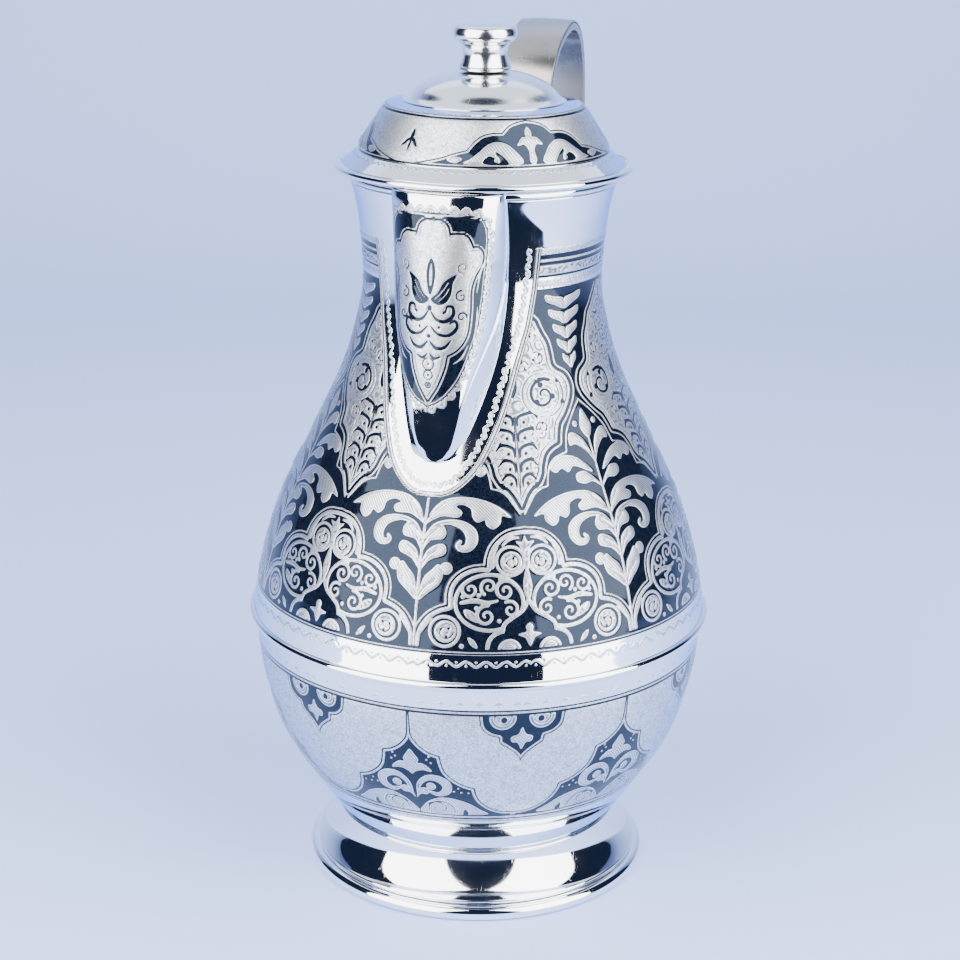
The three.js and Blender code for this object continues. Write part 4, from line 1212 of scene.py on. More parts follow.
def beak_sheet(shrink, rise):
    """Sections by height: from the joint with the body straight along the flank to the crease, then
    a quarter of an ellipse to the middle of the front, mirrored, stepped off evenly and softened by
    repeated averaging of neighbours. Returns points [row, column, xyz] and lengths from the middle."""
    share = np.linspace(0, 1, BEAK_ROWS) ** 1.7
    z = BEAK_TIP + rise + (BEAK_TOP_Z - BEAK_TIP - rise) * share
    sizes = {k: np.maximum(beak_size(k, z) - shrink * (k != "crease"), 0.2)[:, None] for k in SIZES}
    back, front, nose = sizes["back"], np.minimum(sizes["front"], sizes["back"]), sizes["nose"]
    skin = body_radius(z)[:, None] + GAP
    joint = np.sqrt(np.maximum(skin**2 - back**2, 1))
    crease = np.clip(sizes["crease"] - shrink * 0.5, joint + 0.02, nose - 0.05)
    s = np.linspace(0, 1, 60, endpoint=False)[None, :]
    bend = np.linspace(0, np.pi / 2, 220)[None, :]
    x = np.concatenate([back * (1 - s) + front * s, front * np.cos(bend)], 1)
    y = np.concatenate([joint * (1 - s) + crease * s, crease + (nose - crease) * np.sin(bend)], 1)
    walked = np.concatenate([0 * z[:, None], np.cumsum(np.hypot(np.diff(x), np.diff(y)), 1)], 1)
    even = walked[:, -1:] * np.linspace(0, 1, BEAK_COLS // 2 + 1)[None, :]
    take = lambda v: np.stack([np.interp(e, w, line) for e, w, line in zip(even, walked, v)])
    half = np.stack([take(x), take(y)], -1)
    across = np.concatenate([half * (-1, 1), half[:, -2::-1]], 1)
    for _ in range(3):
        across[:, 1:-1] = (across[:, :-2] + 2 * across[:, 1:-1] + across[:, 2:]) / 4
    steps = np.hypot(*np.moveaxis(np.diff(across, axis=1), 2, 0))
    far = np.concatenate([0 * z[:, None], np.cumsum(steps, 1)], 1)
    far -= far[:, BEAK_COLS // 2][:, None]
    points = np.stack([across[..., 0], -across[..., 1], z[:, None] + 0 * across[..., 0]], -1)
    return points, far


def thick_sheet(name, outer, inner, marks=None):
    """A closed piece from an outer and an inner grid of the same size: each row runs along the outer
    grid and back along the inner one, and the first and last rows are closed by strips of quads."""
    loop = np.concatenate([outer, inner[:, ::-1]], 1)
    rows, cols = loop.shape[:2]
    half = cols // 2
    faces = [grid_faces(rows, cols, False, True)]
    j = np.arange(half - 1)
    strip = np.stack([j, cols - 1 - j, cols - 2 - j, j + 1], 1)
    faces += [strip, strip[:, ::-1] + (rows - 1) * cols]
    return put_mesh(name, loop.reshape(-1, 3), faces, marks)


# %% [markdown]
# ## The cartouche on the beak
# The front of the beak has a lobed cartouche on a black field: a bud between two leaves, and paired
# scrolls below that grow smaller towards the tip. One side is drawn and mirrored, and the field is
# then shifted a little, because the real one isn't quite in the middle.


# %% Plan of the beak's front
def draw_beak():
    """The front of the beak: millimetres from the middle, and height."""
    across = np.arange(-30, 30.01, 0.2)
    plan = Plan(across, np.arange(BEAK_TIP - 1, BEAK_TOP_Z + 1, 0.2), ([0, 400], [1, 1]), "mirror")
    field = both_sides(lobed([(0, 184.8), (4.4, 187.2), (7.8, 190.8), (10.8, 195.4), (13.4, 201.4),
                              (16.2, 210), (17.6, 218), (18.2, 226), (18.6, 234), (18.4, 240.4),
                              (17.2, 244.4), (14.6, 246.6), (8, 247.4), (0, 247.6)]))
    shape = plan.signed(field, 4)
    plan.bands(shape, (0, 60, "niello"), (0.45, 0.8, "matt"))
    edge = np.vstack([field, field[:1]])
    walked = lengths(edge)
    even = evenly(edge, 700)
    slope = unit_rows(np.gradient(even, axis=0))
    out = np.stack([slope[:, 1], -slope[:, 0]], 1)
    if (out[350] * (even[350] - even.mean(0))).sum() < 0:
        out = -out
    far = np.linspace(0, walked[-1], 700)
    period = walked[-1] / 44
    sway = 1.25 + 0.75 * np.sin(2 * np.pi * far / period)
    plan.stroke("niello", even + out * sway[:, None], 1.15, smooth=False)
    plan.stroke("matt", even + out * sway[:, None], 0.72, smooth=False)
    for n in range(44):
        i = np.searchsorted(far, (n + 0.25) * period)
        plan.disc("niello", even[i] + out[i] * 0.75, 0.55)
        plan.disc("matt", even[i] + out[i] * 0.7, 0.4)
    cartouche = both_sides(lobed([(0, 245.6), (3.0, 245.0), (4.8, 243.4), (5.5, 240.6)],
                                 [(5.5, 240.6), (8.6, 241.2), (11.4, 240.0), (13.2, 236.6)],
                                 [(13.2, 236.6), (15.4, 236.5), (16.9, 234.2), (16.4, 231), (14.4, 227.6),
                                  (13.2, 223), (13.2, 216), (12.4, 209), (9.6, 204.6), (6.0, 202.4)],
                                 [(6.0, 202.4), (5.2, 198), (3.2, 192.6), (1.4, 189.4), (0, 187.2)]))
    plan.bands(plan.signed(cartouche), (-1.15, -0.75, "matt"), (0, 60, "matt"), (0.55, 0.8, "niello"))
    plan.petal("niello", [(0, 233.4), (1.25, 231), (1.5, 227.4), (0.8, 223.4), (0, 221.6), (-0.8, 223.4),
                          (-1.5, 227.4), (-1.25, 231)])
    plan.petal("matt", [(0, 231.8), (0.5, 229), (0.3, 225), (-0.3, 225), (-0.5, 229)])
    for side in (-1, 1):
        mirror = lambda points: [(side * x, y) for x, y in points]
        plan.petal("niello", mirror([(0.3, 220.4), (2.6, 222.6), (4.6, 226.2), (8.6, 228.6), (7.4, 225.6),
                                     (7.0, 222.2), (5.4, 219.4), (2.6, 218.6)]))
        plan.stroke("matt", mirror([(1.6, 220.4), (3.8, 222.6), (6.0, 226.0)]), 0.3)
        plan.stroke("matt", mirror([(3.0, 219.8), (5.0, 221.8), (6.2, 224.0)]), 0.25)
        plan.stroke("niello", mirror([(0.4, 216.6), (2.4, 214.0), (5.4, 213.4), (7.8, 215.4), (7.6, 218.0),
                                      (5.8, 218.2), (5.4, 216.4)]), [0.5, 1.1, 1.5, 1.2, 0.9, 0.6])
        plan.stroke("niello", mirror([(0.6, 211.6), (3.2, 209.2), (6.8, 209.0), (9.2, 211.4), (8.4, 213.6),
                                      (6.8, 212.6)]), [0.5, 1.0, 1.4, 1.0, 0.6])
        plan.scroll("niello", (10.2, 221.4) if side > 0 else (-10.2, 221.4), 2.0, 90, 1.2, 0.7, side)
        plan.scroll("niello", (10.4, 230.6) if side > 0 else (-10.4, 230.6), 1.9, 270, 1.2, 0.55, -side)
        plan.scroll("niello", (10.6, 214.8) if side > 0 else (-10.6, 214.8), 1.7, 0, 1.2, 0.7, side)
        plan.stroke("niello", mirror([(0.4, 206.8), (2.6, 204.6), (5.4, 205.0), (7.4, 207.4)]),
                    [0.5, 1.2, 1.2, 0.5])
        plan.stroke("niello", mirror([(0.3, 202.8), (2.0, 201.2), (4.2, 202.0)]), [0.4, 1.0, 0.5])
        plan.disc("niello", (side * 4.8, 216.2), 0.55)
        plan.disc("niello", (side * 3.4, 211.4), 0.5)
        plan.stroke("matt", mirror([(15.4, 222), (16.2, 228), (17.2, 231.6)]), [0.2, 0.7, 0.2])
        plan.stroke("matt", mirror([(15.0, 206.6), (15.8, 212), (15.9, 218)]), [0.2, 0.7, 0.2])
        plan.stroke("matt", mirror([(8.4, 199.6), (11.0, 201.6), (13.0, 205.4)]), [0.2, 0.7, 0.2])
    plan.disc("niello", (0, 217.6), 0.8)
    plan.disc("niello", (0, 208.4), 0.7)
    for y, wide in ((199.2, 2.6), (195.6, 2.1), (192.2, 1.4)):
        plan.disc("niello", (0, y), wide * 0.82, 0.45)
        plan.disc("niello", (0, y), 0.45)
    return plan


BEAK_PLAN = draw_beak()
told("cartouche", BEAK_PLAN)

# %% [markdown]
# ## The beak in silver
# The plan is read at each point of the sheet by its height and its walked distance from the middle,
# so that the drawing bends round the nose without stretching. The relief fades out at the edges.

# %% Finished beak
beak_outer, beak_far = beak_sheet(0, 0)
beak_inner, _ = beak_sheet(WALL, 3)
beak_marks = BEAK_PLAN.read(np.clip(beak_far - CARTOUCHE_SHIFT, -29.8, 29.8), beak_outer[..., 2])
beak_marks["round"], beak_marks["rise"] = beak_far, beak_outer[..., 2]
beak_fade = np.clip(np.minimum(BEAK_TOP_Z - beak_outer[..., 2], beak_outer[..., 2] - BEAK_TIP) / 2, 0, 1)
beak_lift = np.cross(np.gradient(beak_outer, axis=1), np.gradient(beak_outer, axis=0))
beak_lift /= np.maximum(np.linalg.norm(beak_lift, axis=2), 1e-9)[..., None]
beak_lift *= np.sign((beak_lift * (beak_outer * (1, 1, 0))).sum(2)[100, BEAK_COLS // 2])
beak_outer = beak_outer + beak_lift * (relief(beak_marks) * beak_fade * 0.8)[..., None]
blank = {"niello": -2.0, "mirror": 2.0, "leaf": -2.0, "round": 0.0, "rise": 0.0}
beak_all = {m: np.concatenate([v, 0 * v + blank[m]], 1).ravel() for m, v in beak_marks.items()}
beak = thick_sheet("beak", beak_outer, beak_inner, beak_all)
finished(beak, FROSTED, "pot", "engraved_silver", "spout_beak")

# %% [markdown]
# ## The lid
# A rolled brim, a sloping flange, a steep decorated dome, a flat shoulder, a smooth cap and a knob.

# %% Lid template and pieces
DOME_R, DOME_TOP_R, DOME_FOOT_Z, DOME_RISE = 42.8, 33.6, BRIM_Z + 5.3, 15.4
SHOULDER_Z = DOME_FOOT_Z + DOME_RISE
CAP_Z, CAP_TOP_Z, CAP_R, STUD_R = SHOULDER_Z + 2.6, SHOULDER_Z + 11.0, 26.1, 2.2
DOME_SIDE = flowing([(DOME_R, DOME_FOOT_Z), (DOME_R - 0.9, DOME_FOOT_Z + DOME_RISE * 0.2),
                     (DOME_R - 3.5, DOME_FOOT_Z + DOME_RISE * 0.46),
                     (DOME_TOP_R + 1.9, DOME_FOOT_Z + DOME_RISE * 0.84), (DOME_TOP_R, SHOULDER_Z)])
crown_rise = (CAP_Z - 0.4 - SHOULDER_Z) / (DOME_TOP_R - CAP_R + 4)
cap_foot = SHOULDER_Z + (DOME_TOP_R - CAP_R - 1.6) * crown_rise + 0.25
cap_top = flowing([(CAP_R + 1.6, cap_foot), (CAP_R - 0.2, cap_foot + 0.9), (CAP_R * 0.82, CAP_Z + 4.0),
    (CAP_R * 0.55, CAP_Z + 7.1), (6.3, CAP_TOP_Z - 0.1), (STUD_R + GAP, CAP_TOP_Z)], 60)
inside = beside(cap_top, 1.1)
inside = inside[inside[:, 1] > CAP_Z + 0.6]
inside[-1, 0] = STUD_R + GAP
cap = spun("lid_smooth_cap", np.vstack([cap_top, inside[::-1], [(CAP_R - 1.5, cap_foot + 0.3)]]))
finished(cap, SOFT, "lid", "polished_silver", "lid_cap")

# %% [markdown]
# ## Brim wire and bezel
# A rolled wire stiffens the brim, and under it an angle ring, the bezel, rests on the mouth and drops
# into the neck, so that the loose lid can't slide off. Both are small sections turned about the axis.

# %% Brim wire and bezel
finished(wire_ring("lid_brim_wire", BRIM_R - 1.15, BRIM_Z, 1.15), MIRROR, "lid", "polished_silver",
         "lid_rim_wire")
bz_low, bz_high = span("lid_bezel", 2)
flange = span("lid_bezel", 0)[1]
bezel_out = body_radius(bz_low) - WALL - 0.5
bezel = spun("lid_bezel_ring", softened([(bezel_out - 1.1, bz_low), (bezel_out, bz_low),
                                         (bezel_out, bz_high - 1.1), (flange, bz_high - 1.1),
                                         (flange, bz_high), (bezel_out - 1.1, bz_high)], 0.3))
finished(bezel, MIRROR, "lid", "polished_silver", "lid_bezel")

# %% [markdown]
# ## Knob
# The spool knob is turned solid and sits on a thin collar. One smooth curve through the turner's
# measures gives its waist and its rolled head; the socket below takes the stud.

# %% Knob and collar
knob_low = span("lid_knob", 2)[0]
head = KNOB_TOP_Z
knob_side = flowing([(8.7, knob_low), (7.75, knob_low + 2.4), (7.6, head - 9.6), (8.5, head - 6.9),
                     (10.5, head - 4.9), (10.9, head - 3.1), (10.2, head - 1.2), (8.2, head - 0.35),
                     (4.0, head), (0, head + 0.05)], 110)
socket = [(0, KNOB_TOP_Z - 5.7), (2.5, KNOB_TOP_Z - 5.7), (2.5, knob_low)]
finished(spun("lid_knob_turned", np.vstack([socket, knob_side]), 96), SOFT, "lid", "polished_silver",
         "lid_knob")
c_low, c_high = span("knob_collar", 2)
finished(spun("knob_collar_ring", softened([(2.5, c_low), (9.0, c_low), (9.0, c_high), (2.5, c_high)], 0.45),
              96), SOFT, "lid", "polished_silver", "knob_collar")

# %% [markdown]
# ## The dome's ornament
# Three pointed arches of niello stand on the dome's foot, 120 degrees apart, with a small sprig
# between each pair on the frosted ground.

# %% Plan and surface of the dome
side_arc = lengths(DOME_SIDE)
DOME_K = (side_arc, np.radians(DOME_SIDE[:, 0]))
ARCH_TURN = 38.0


def draw_dome():
    """Half a repeat of the dome's side, 60 degrees wide."""
    plan = Plan(np.linspace(0, 60, 210), np.arange(-3, side_arc[-1] + 3.6, 0.2), DOME_K, "matt")
    arch = both_sides(lobed([(0, 16.9), (5, 16.3), (10, 15.0), (13.6, 12.6)],
                            [(13.6, 12.6), (19, 12.5), (24, 11.4), (28, 9), (30.5, 6.4)],
                            [(30.5, 6.4), (36, 5.2), (43, 3.2), (55, 1.0)], [(55, 1.0), (55, 0.3)]))
    plan.bands(plan.signed(arch), (0, 0.5, "niello"), (0.5, 1.0, "matt"), (1.0, 60, "niello"))
    plan.petal("leaf", [(0, 14.4), (1.7, 12.6), (1.6, 10.9), (4.0, 10.6), (6.6, 8.0), (3.2, 8.2),
        (1.4, 6.0), (1.6, 2.6), (0, 1.2), (-1.6, 2.6), (-1.4, 6.0), (-3.2, 8.2), (-6.6, 8.0),
        (-4.0, 10.6), (-1.6, 10.9), (-1.7, 12.6)])
    plan.petal("leaf", [(5.2, 1.8), (7.4, 5.6), (11.5, 8.4), (16, 9.3), (20.5, 8.4), (24.5, 5.8),
        (28.5, 3.2), (31, 1.8), (17, 1.4)])
    plan.petal("niello", [(11.4, 1.6), (14.0, 4.4), (17.4, 6.0), (16.6, 3.6), (20.4, 4.4), (23.0, 2.0),
        (17, 1.4)])
    plan.petal("leaf", [(15.4, 2.2), (16.4, 4.4), (17.8, 2.6)])
    plan.petal("leaf", [(32, 3.2), (35, 4.0), (39, 2.8), (35, 1.8)])
    for bend in (-1, 1):
        plan.petal("niello", [(60, 9.4), (60 + 2.4 * bend, 7.0), (60 + 5.0 * bend, 6.2),
            (60 + 2.2 * bend, 9.0)])
    plan.petal("niello", [(60, 8.6), (58.8, 10.4), (60, 12.8), (61.2, 10.4)])
    plan.stroke("niello", [(60, 8.5), (59.6, 6), (60.4, 4)], [0.7, 0.5, 0.3])
    ring_band(plan, -10, 1.0, "niello")
    ring_band(plan, -10, 0.25, "mirror")
    top = side_arc[-1]
    ring_band(plan, top - 1.25, 90, "niello")
    ring_band(plan, top - 0.35, top + 0.1, "matt")
    ring_band(plan, top + 0.9, 90, "mirror")
    for n in range(-1, 14):
        plan.disc("matt", (4.3 * n + 2, top + 1.5), 0.36)
    wave(plan, -1.5, 0.5, 4.0, width=0.5, dots=0.0)
    return plan


DOME_PLAN = draw_dome()
told("dome", DOME_PLAN)

# %% [markdown]
# ## The dome's shell
# Brim, flange, dome and crown are raised from one disc, so they are one turned shell here too. Its
# outer side carries the drawing, folded three times round, and is pushed out by the relief along the
# template's own normal.

# %% Dome shell
flange_edge = np.array([BRIM_R - 2.6, BRIM_Z + 1.0])
step_out = np.linspace(flange_edge, DOME_SIDE[0], 26)[:-1]
rise_side = evenly(DOME_SIDE, 72)
crown = np.linspace(DOME_SIDE[-1], (CAP_R - 4, CAP_Z - 0.4), 22)[1:]
lid_line = np.vstack([step_out, rise_side, crown, np.linspace((CAP_R - 4, CAP_Z - 0.4),
    (2.5, CAP_Z + 0.4), 8)[1:]])
lid_under = beside(lid_line, 1.1)
lid_under[-1, 0] = 2.5
lid_under = lid_under[::-3]
DOME_TURNS = 570
along_lid = lengths(lid_line) - lengths(np.vstack([step_out, DOME_SIDE[:1]]))[-1]
azimuth = np.linspace(0, 360, DOME_TURNS, endpoint=False)
repeat_part = np.mod(azimuth - ARCH_TURN, 120)
fold_part = np.minimum(repeat_part, 120 - repeat_part)
shape = (len(lid_line), DOME_TURNS)
y = np.broadcast_to(along_lid[:, None], shape)
dome_marks = DOME_PLAN.read(np.broadcast_to(fold_part[None, :], shape), y)
outside_plan = (y < -2.8) | (y > side_arc[-1] + 3.2)
dome_marks["mirror"] = np.where(outside_plan, 2.0, dome_marks["mirror"])
for mark in ("niello", "leaf"):
    dome_marks[mark] = np.where(outside_plan, -2.0, dome_marks[mark])
dome_marks["round"] = np.radians(azimuth)[None, :] * np.minimum(lid_line[:, :1], 43)
dome_marks["rise"] = y
lift = relief(dome_marks) * 0.8
slope = unit_rows(np.gradient(lid_line, axis=0))
turn_all = np.radians(azimuth)[None, :]
r = lid_line[:, :1] + slope[:, 1:] * lift
z = lid_line[:, 1:] - slope[:, :1] * lift
outer = around(r, turn_all, z)
inner = around(lid_under[:, :1], turn_all, lid_under[:, 1:])
loop = np.concatenate([outer, inner], 0)
pad = len(inner) * DOME_TURNS
dome_all = {m: np.concatenate([v.ravel(), np.full(pad, 2.0 if m == "mirror" else -2.0)])
            for m, v in dome_marks.items()}
dome = put_mesh("lid_dome_shell", loop.reshape(-1, 3), [grid_faces(len(loop), DOME_TURNS, True, True)],
    dome_all)
finished(dome, FROSTED, "lid", "engraved_silver", "lid_dome")


# %% [markdown]
# ## The handle
# The handle is a hollow strap of two sheets, bent in a loop over the lid's brim. Its middle line is
# a smooth curve, and flat sections are carried along it. The back sheet is slightly crowned.

# %% Handle strap
STRAP_W, ROOT_W, DEPTH, SHEET = 20.0, 15.0, 4.0, 1.1
REACH, CREST_Z = 106.6, 293.6
TOP_Z, LOW_Z = MOUTH_Z - 17.6, SEAM_Z + RISE * 0.3
near = BRIM_R + 1.3 + DEPTH / 2
HANDLE = np.array([
    (body_radius(TOP_Z) - 1, TOP_Z), (near - 4, MOUTH_Z - 12), (near, MOUTH_Z),
    (near + 0.7, CREST_Z - 29), (near + 4, CREST_Z - 16), (near + 12, CREST_Z - 6.6),
    (near + 24, CREST_Z - 1.2), (REACH - 17.6, CREST_Z), (REACH - 8, CREST_Z - 4.4),
    (REACH - 2.4, CREST_Z - 13.6), (REACH, CREST_Z - 30), (REACH, CREST_Z - 53),
    (REACH - 3.6, CREST_Z - 84), (REACH - 11.5, LOW_Z + 46), (REACH - 22, LOW_Z + 19),
    (body_radius(LOW_Z) - 1, LOW_Z)])


def spaced(points, count):
    """Smooth line through points whose spacing counts: each span's cubic uses slopes weighted by the
    square roots of the steps, so that close points don't make it overshoot."""
    knots = np.asarray(points, float)
    ends = [2 * knots[0] - knots[1], 2 * knots[-1] - knots[-2]]
    p = np.vstack([ends[0], knots, ends[1]])
    step = np.sqrt(np.linalg.norm(np.diff(p, axis=0), axis=1))
    place = np.linspace(0, len(knots) - 1, count)
    i = np.minimum(place.astype(int), len(knots) - 2)
    w = (place - i)[:, None]
    d0, d1, d2 = (step[i + k][:, None] for k in (0, 1, 2))
    p0, p1, p2, p3 = (p[i + k] for k in (0, 1, 2, 3))
    s1 = ((p1 - p0) / d0 - (p2 - p0) / (d0 + d1) + (p2 - p1) / d1) * d1
    s2 = ((p2 - p1) / d1 - (p3 - p1) / (d1 + d2) + (p3 - p2) / d2) * d1
    return (2 * p1 - 2 * p2 + s1 + s2) * w**3 + (3 * p2 - 3 * p1 - 2 * s1 - s2) * w**2 + s1 * w + p1


STRAP_STEPS = 420
STRAP = evenly(spaced(HANDLE, 3000), STRAP_STEPS + 1)


def along_strap(name, section, start=0.0, end=1.0, marks=None):
    """A section [across share, outward mm] carried along the strap's middle line: a point is
    middle + outward * normal + across * width / 2. The ends are closed by one face each."""
    line = STRAP[int(start * STRAP_STEPS):int(end * STRAP_STEPS) + 1]
    share = np.linspace(start, end, len(line))
    slope = unit_rows(np.gradient(line, axis=0))
    out = np.stack([-slope[:, 1], slope[:, 0]], 1)
    width = ROOT_W + (STRAP_W - ROOT_W) * np.sin(np.pi * share) ** 0.6
    across, high = np.asarray(section, float).T
    x = across[None, :] * width[:, None] / 2
    yz = line[:, None] + out[:, None] * high[None, :, None]
    points = np.concatenate([x[..., None], yz], -1)
    rows, cols = points.shape[:2]
    ring = np.arange(cols)[None]
    faces = [grid_faces(rows, cols, False, True), ring[:, ::-1], ring + (rows - 1) * cols]
    return put_mesh(name, points.reshape(-1, 3), faces, marks)


def plank(half, low, high, crown=0.0, soft=0.35, steps=12):
    """A strip's section: flat below, crowned above by a parabola, with softened edges."""
    x = np.linspace(-half, half, steps)
    top = np.stack([x, high - crown * (x / half) ** 2], 1)
    return softened(np.vstack([[(-half, low), (half, low)], top[::-1]]), soft / 10, 4)


half_depth = DEPTH / 2
handle_back = along_strap("handle_outer_strap", plank(1.0, half_depth - SHEET, half_depth, 0.5))
finished(handle_back, SATIN, "pot", "satin_silver", "handle_back")
handle_in = along_strap("handle_inner_strap", plank(1.0, -half_depth, half_depth - SHEET - GAP))
finished(handle_in, SATIN, "pot", "satin_silver", "handle_lining")


# %% [markdown]
# ## The panel on the handle's back
# A long plate carries a waving vine with a round leaf in each hollow. It is regular enough to be a
# formula, so its distances are worked out point by point instead of being drawn on a plan.


# %% Panel on the strap's back
def vine_marks(rows, cols, width, length):
    """Stored distances of the panel: a waving stem, x = width / 5 sin(2 pi y / 13), with a round leaf
    in each hollow, on niello, in a plain edge. Lengths in millimetres."""
    x = np.linspace(-width / 2, width / 2, cols)[None, :]
    y = np.linspace(0, length, rows)[:, None]
    wave_x = width / 5 * np.sin(2 * np.pi * y / 13)
    stem = 0.45 - np.abs(x - wave_x)
    near = (np.floor(y / 6.5) + 0.5) * 6.5
    side = -np.sign(np.sin(2 * np.pi * near / 13)) * width / 7
    leaf = 1.5 - np.hypot((x - side) * 0.8, y - near)
    border = np.minimum(np.minimum(width / 2 - np.abs(x), y), length - y)
    light = np.maximum(stem, leaf)
    niello = np.minimum(border - 0.8, -light)
    return {"niello": niello, "mirror": 0.8 - border, "leaf": np.minimum(leaf, border - 0.8) + 0 * x,
            "round": x + 0 * y, "rise": y + 0 * x}


panel_low = half_depth + GAP
ALONG, ACROSS = (13 / 36, 31 / 36), 40
panel_wide = span("handle_panel", 0)[1] - span("handle_panel", 0)[0]
panel_half = panel_wide / STRAP_W
x = np.linspace(-panel_half, panel_half, ACROSS)
panel_top = np.stack([x, panel_low + 0.9 - 0.3 * (x / panel_half) ** 2], 1)
panel_section = np.vstack([panel_top[::-1], [(-panel_half, panel_low), (panel_half, panel_low)]])
panel_rows = int(ALONG[1] * STRAP_STEPS) - int(ALONG[0] * STRAP_STEPS) + 1
marks = vine_marks(panel_rows, ACROSS, panel_wide, lengths(STRAP)[-1] * (ALONG[1] - ALONG[0]))
marks = {m: np.concatenate([v[:, ::-1], np.full((panel_rows, 2), blank[m])], 1).ravel()
         for m, v in marks.items()}
panel = along_strap("handle_engraved_panel", panel_section, *ALONG, marks=marks)
finished(panel, FROSTED, "pot", "engraved_silver", "handle_panel")


# %% [markdown]
# ## Escutcheons and hidden fastening
# Oval plates spread the handle's pull over the thin body. They are rings of an ellipse wrapped on the
# body's surface. The stud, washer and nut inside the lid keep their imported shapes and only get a
# finish.


# %% Escutcheons and the knob's hidden fastening
def escutcheon(name, height, half_wide, half_tall, thick=1.2, turns=96):
    """A curved oval plate on the body: rings of an ellipse wrapped on the body's surface, rising in
    the middle by a quarter of an ellipse over its last 2 mm. Its underside lies on the body."""
    share = np.concatenate([np.linspace(0.02, 0.8, 14), 0.8 + 0.2 * np.sin(np.linspace(0.1, np.pi / 2, 10))])
    turn = np.linspace(0, 2 * np.pi, turns, endpoint=False)[None, :]
    x, z = share[:, None] * half_wide * np.cos(turn), height + share[:, None] * half_tall * np.sin(turn)
    rise = thick * np.sqrt(np.clip(1 - np.clip((share - 0.8) / 0.2, 0, 1) ** 2, 0, 1))[:, None]
    rings = []
    for lift, keep in ((rise, slice(None, None, -1)), (0 * rise, slice(None))):
        r = body_radius(z) + GAP + lift
        rings.append(np.stack([x, np.sqrt(np.maximum(r**2 - x**2, 1)), z], -1)[keep])
    loop = np.concatenate([rings[1][:-1], rings[0]], 0)
    ring = np.arange(turns)[None]
    caps = [ring[:, ::-1], ring + (len(loop) - 1) * turns]
    return put_mesh(name, loop.reshape(-1, 3), [grid_faces(len(loop), turns, False, True), *caps])


finished(escutcheon("handle_upper_escutcheon", TOP_Z, 11, 8), SOFT, "pot", "polished_silver",
         "handle_upper_plate")
finished(escutcheon("handle_lower_escutcheon", LOW_Z, 12, 14), SOFT, "pot", "polished_silver",
         "handle_lower_plate")
for name in ("knob_stud", "knob_washer", "knob_nut"):
    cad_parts[name].material_slots[0].material = SATIN
    print("kept as packed:", name)

# %% [markdown]
# ## Room, light and camera
# The pot is seen from a little above, beyond the beak's right side. Two tall white softboxes stand
# left and right of the eye with a dark gap between them, which gives polished silver its black
# stripes; a pale sheet lies under the pot and rises behind it, and a pale ceiling hangs behind.

# %% Camera
EYE_OUT, EYE_UP, EYE_TURN = 0.7465, 0.3793, math.radians(15.5)
EYE_DOWN, EYE_ROLL = math.radians(17.61), math.radians(0.669)
eye = bpy.data.cameras.new("eye")
eye.sensor_width, eye.lens = 36.0, 82.6
eye.clip_start, eye.clip_end = 0.05, 40
camera = bpy.data.objects.new("eye", eye)
bpy.context.scene.collection.objects.link(camera)
camera.location = (EYE_OUT * math.sin(EYE_TURN), AXIS_Y * MM - EYE_OUT * math.cos(EYE_TURN), EYE_UP)
aim = Euler((math.pi / 2 - EYE_DOWN, 0, EYE_TURN)).to_matrix() @ Matrix.Rotation(EYE_ROLL, 3, "Z")
camera.rotation_euler = aim.to_euler()
bpy.context.scene.camera = camera


# %% [markdown]
# ## Floor, backdrop and softboxes
# One pale sheet is the floor and curves up into the backdrop. It ends about 20 cm before the
# pot, so that the belt mirrors darkness in front and light at the sides. Everything here is staged:
# it belongs to the picture and not to the pot.


# %% Floor, backdrop and softboxes
def stage_sheet(name, points, rows, cols, material):
    """A grid that isn't part of the pot."""
    mesh = bpy.data.meshes.new(name)
    mesh.from_pydata(np.asarray(points, float).tolist(), [], grid_faces(rows, cols).tolist())
    mesh.polygons.foreach_set("use_smooth", np.ones(len(mesh.polygons), bool))
    obj = bpy.data.objects.new(name, mesh)
    bpy.context.scene.collection.objects.link(obj)
    obj.data.materials.append(material)
    return obj


def paper(name, colour, grain=0.02):
    """Matt paper: a colour with a faint mottle and a rough surface."""
    made, tree, shader = new_finish(name)
    place = node(tree, "TexCoord").outputs["Object"]
    cloud = node(tree, "TexNoise", {"Vector": place, "Scale": 3.0, "Detail": 3.0}).outputs[0]
    dark = tuple(c * (1 - grain) for c in colour)
    tree.links.new(blend_of(tree, cloud, (*dark, 1), (*colour, 1)), shader.inputs["Base Color"])
    tree.links.new(sums(tree, "MULTIPLY_ADD", cloud, 0.1, 0.8), shader.inputs["Roughness"])
    shader.inputs["Specular IOR Level"].default_value = 0.2
    shader.inputs["Emission Color"].default_value = (0.04, 0.12, 1.0, 1)
    shader.inputs["Emission Strength"].default_value = 0.10
    return made


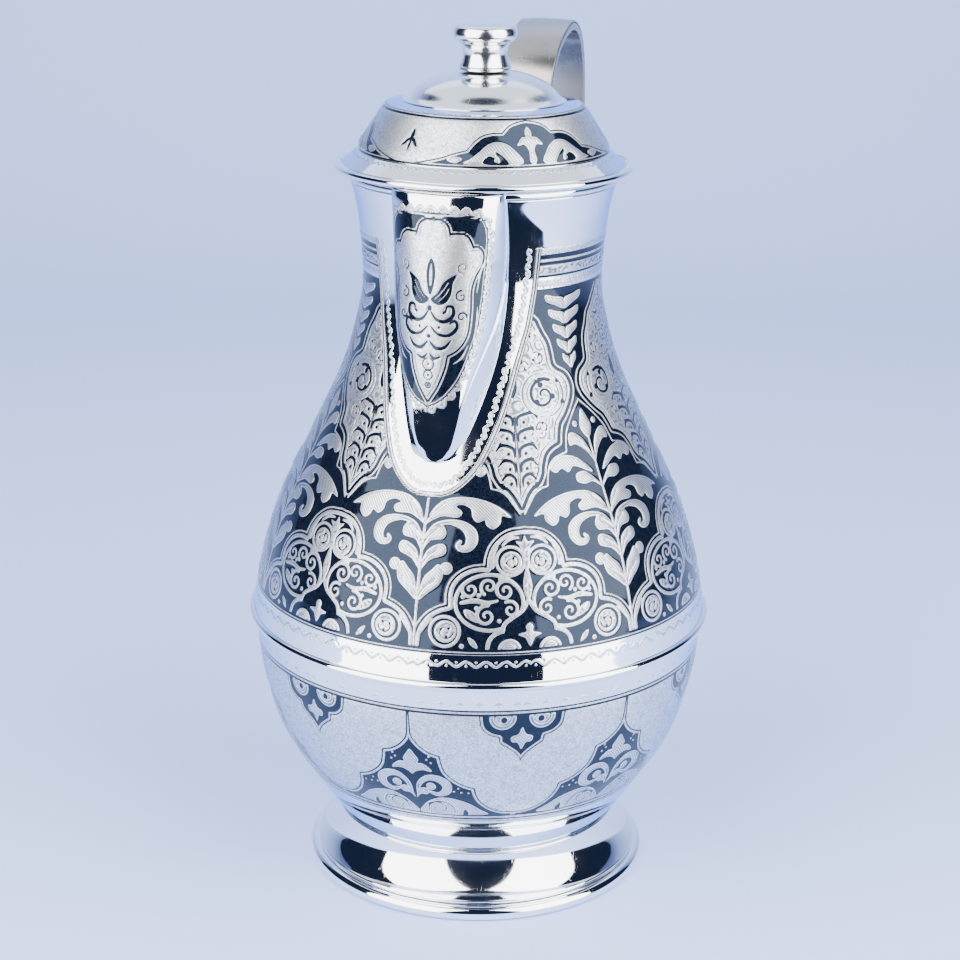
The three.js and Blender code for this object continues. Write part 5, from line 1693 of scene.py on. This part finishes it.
PAPER = paper("pale_paper", (0.50, 0.63, 0.99))
FLOOR_FRONT = -0.30
run = np.concatenate([np.stack([np.linspace(FLOOR_FRONT, 0.9, 20), np.zeros(20)], 1),
                      np.stack([0.9 + 0.5 * np.sin(np.linspace(0.1, np.pi / 2, 14)),
                                0.5 - 0.5 * np.cos(np.linspace(0.1, np.pi / 2, 14))], 1),
                      np.array([[1.4, 1.0], [1.4, 2.2]])])
wide = np.linspace(-2.2, 2.2, 12)
sweep = np.stack(np.broadcast_arrays(wide[None, :], run[:, :1], run[:, 1:]), -1)
turn = np.array([[math.cos(EYE_TURN), -math.sin(EYE_TURN), 0], [math.sin(EYE_TURN), math.cos(EYE_TURN), 0],
                 [0, 0, 1]])
stage_sheet("floor_and_backdrop", (sweep @ turn.T).reshape(-1, 3) + (0, AXIS_Y * MM, 0), len(run), 12, PAPER)


def softbox(name, turn_deg, height, distance, width, tall, watts, colour=(1, 1, 1), aim_z=0.15):
    """A rectangular lamp at an angle from the eye's direction, facing the pot."""
    lamp = bpy.data.lights.new(name, "AREA")
    lamp.shape, lamp.size, lamp.size_y, lamp.energy, lamp.color = "RECTANGLE", width, tall, watts, colour
    obj = bpy.data.objects.new(name, lamp)
    angle = EYE_TURN + math.radians(turn_deg)
    obj.location = (distance * math.sin(angle), AXIS_Y * MM - distance * math.cos(angle), height)
    obj.rotation_euler = (obj.location - Vector((0, AXIS_Y * MM, aim_z))).to_track_quat("Z", "Y").to_euler()
    bpy.context.scene.collection.objects.link(obj)
    return obj


softbox("left_softbox", -47, 0.60, 1.0, 1.15, 1.7, 50)
softbox("right_softbox", 53.8, 0.60, 1.0, 1.1, 1.7, 50)
softbox("ceiling", 180, 1.7, 0.75, 2.6, 2.3, 34, (0.80, 0.88, 1.0))
world = bpy.data.worlds.new("studio")
world.use_nodes = True
world.node_tree.nodes["Background"].inputs[0].default_value = (0.012, 0.020, 0.050, 1)
world.node_tree.nodes["Background"].inputs[1].default_value = 1.0
bpy.context.scene.world = world
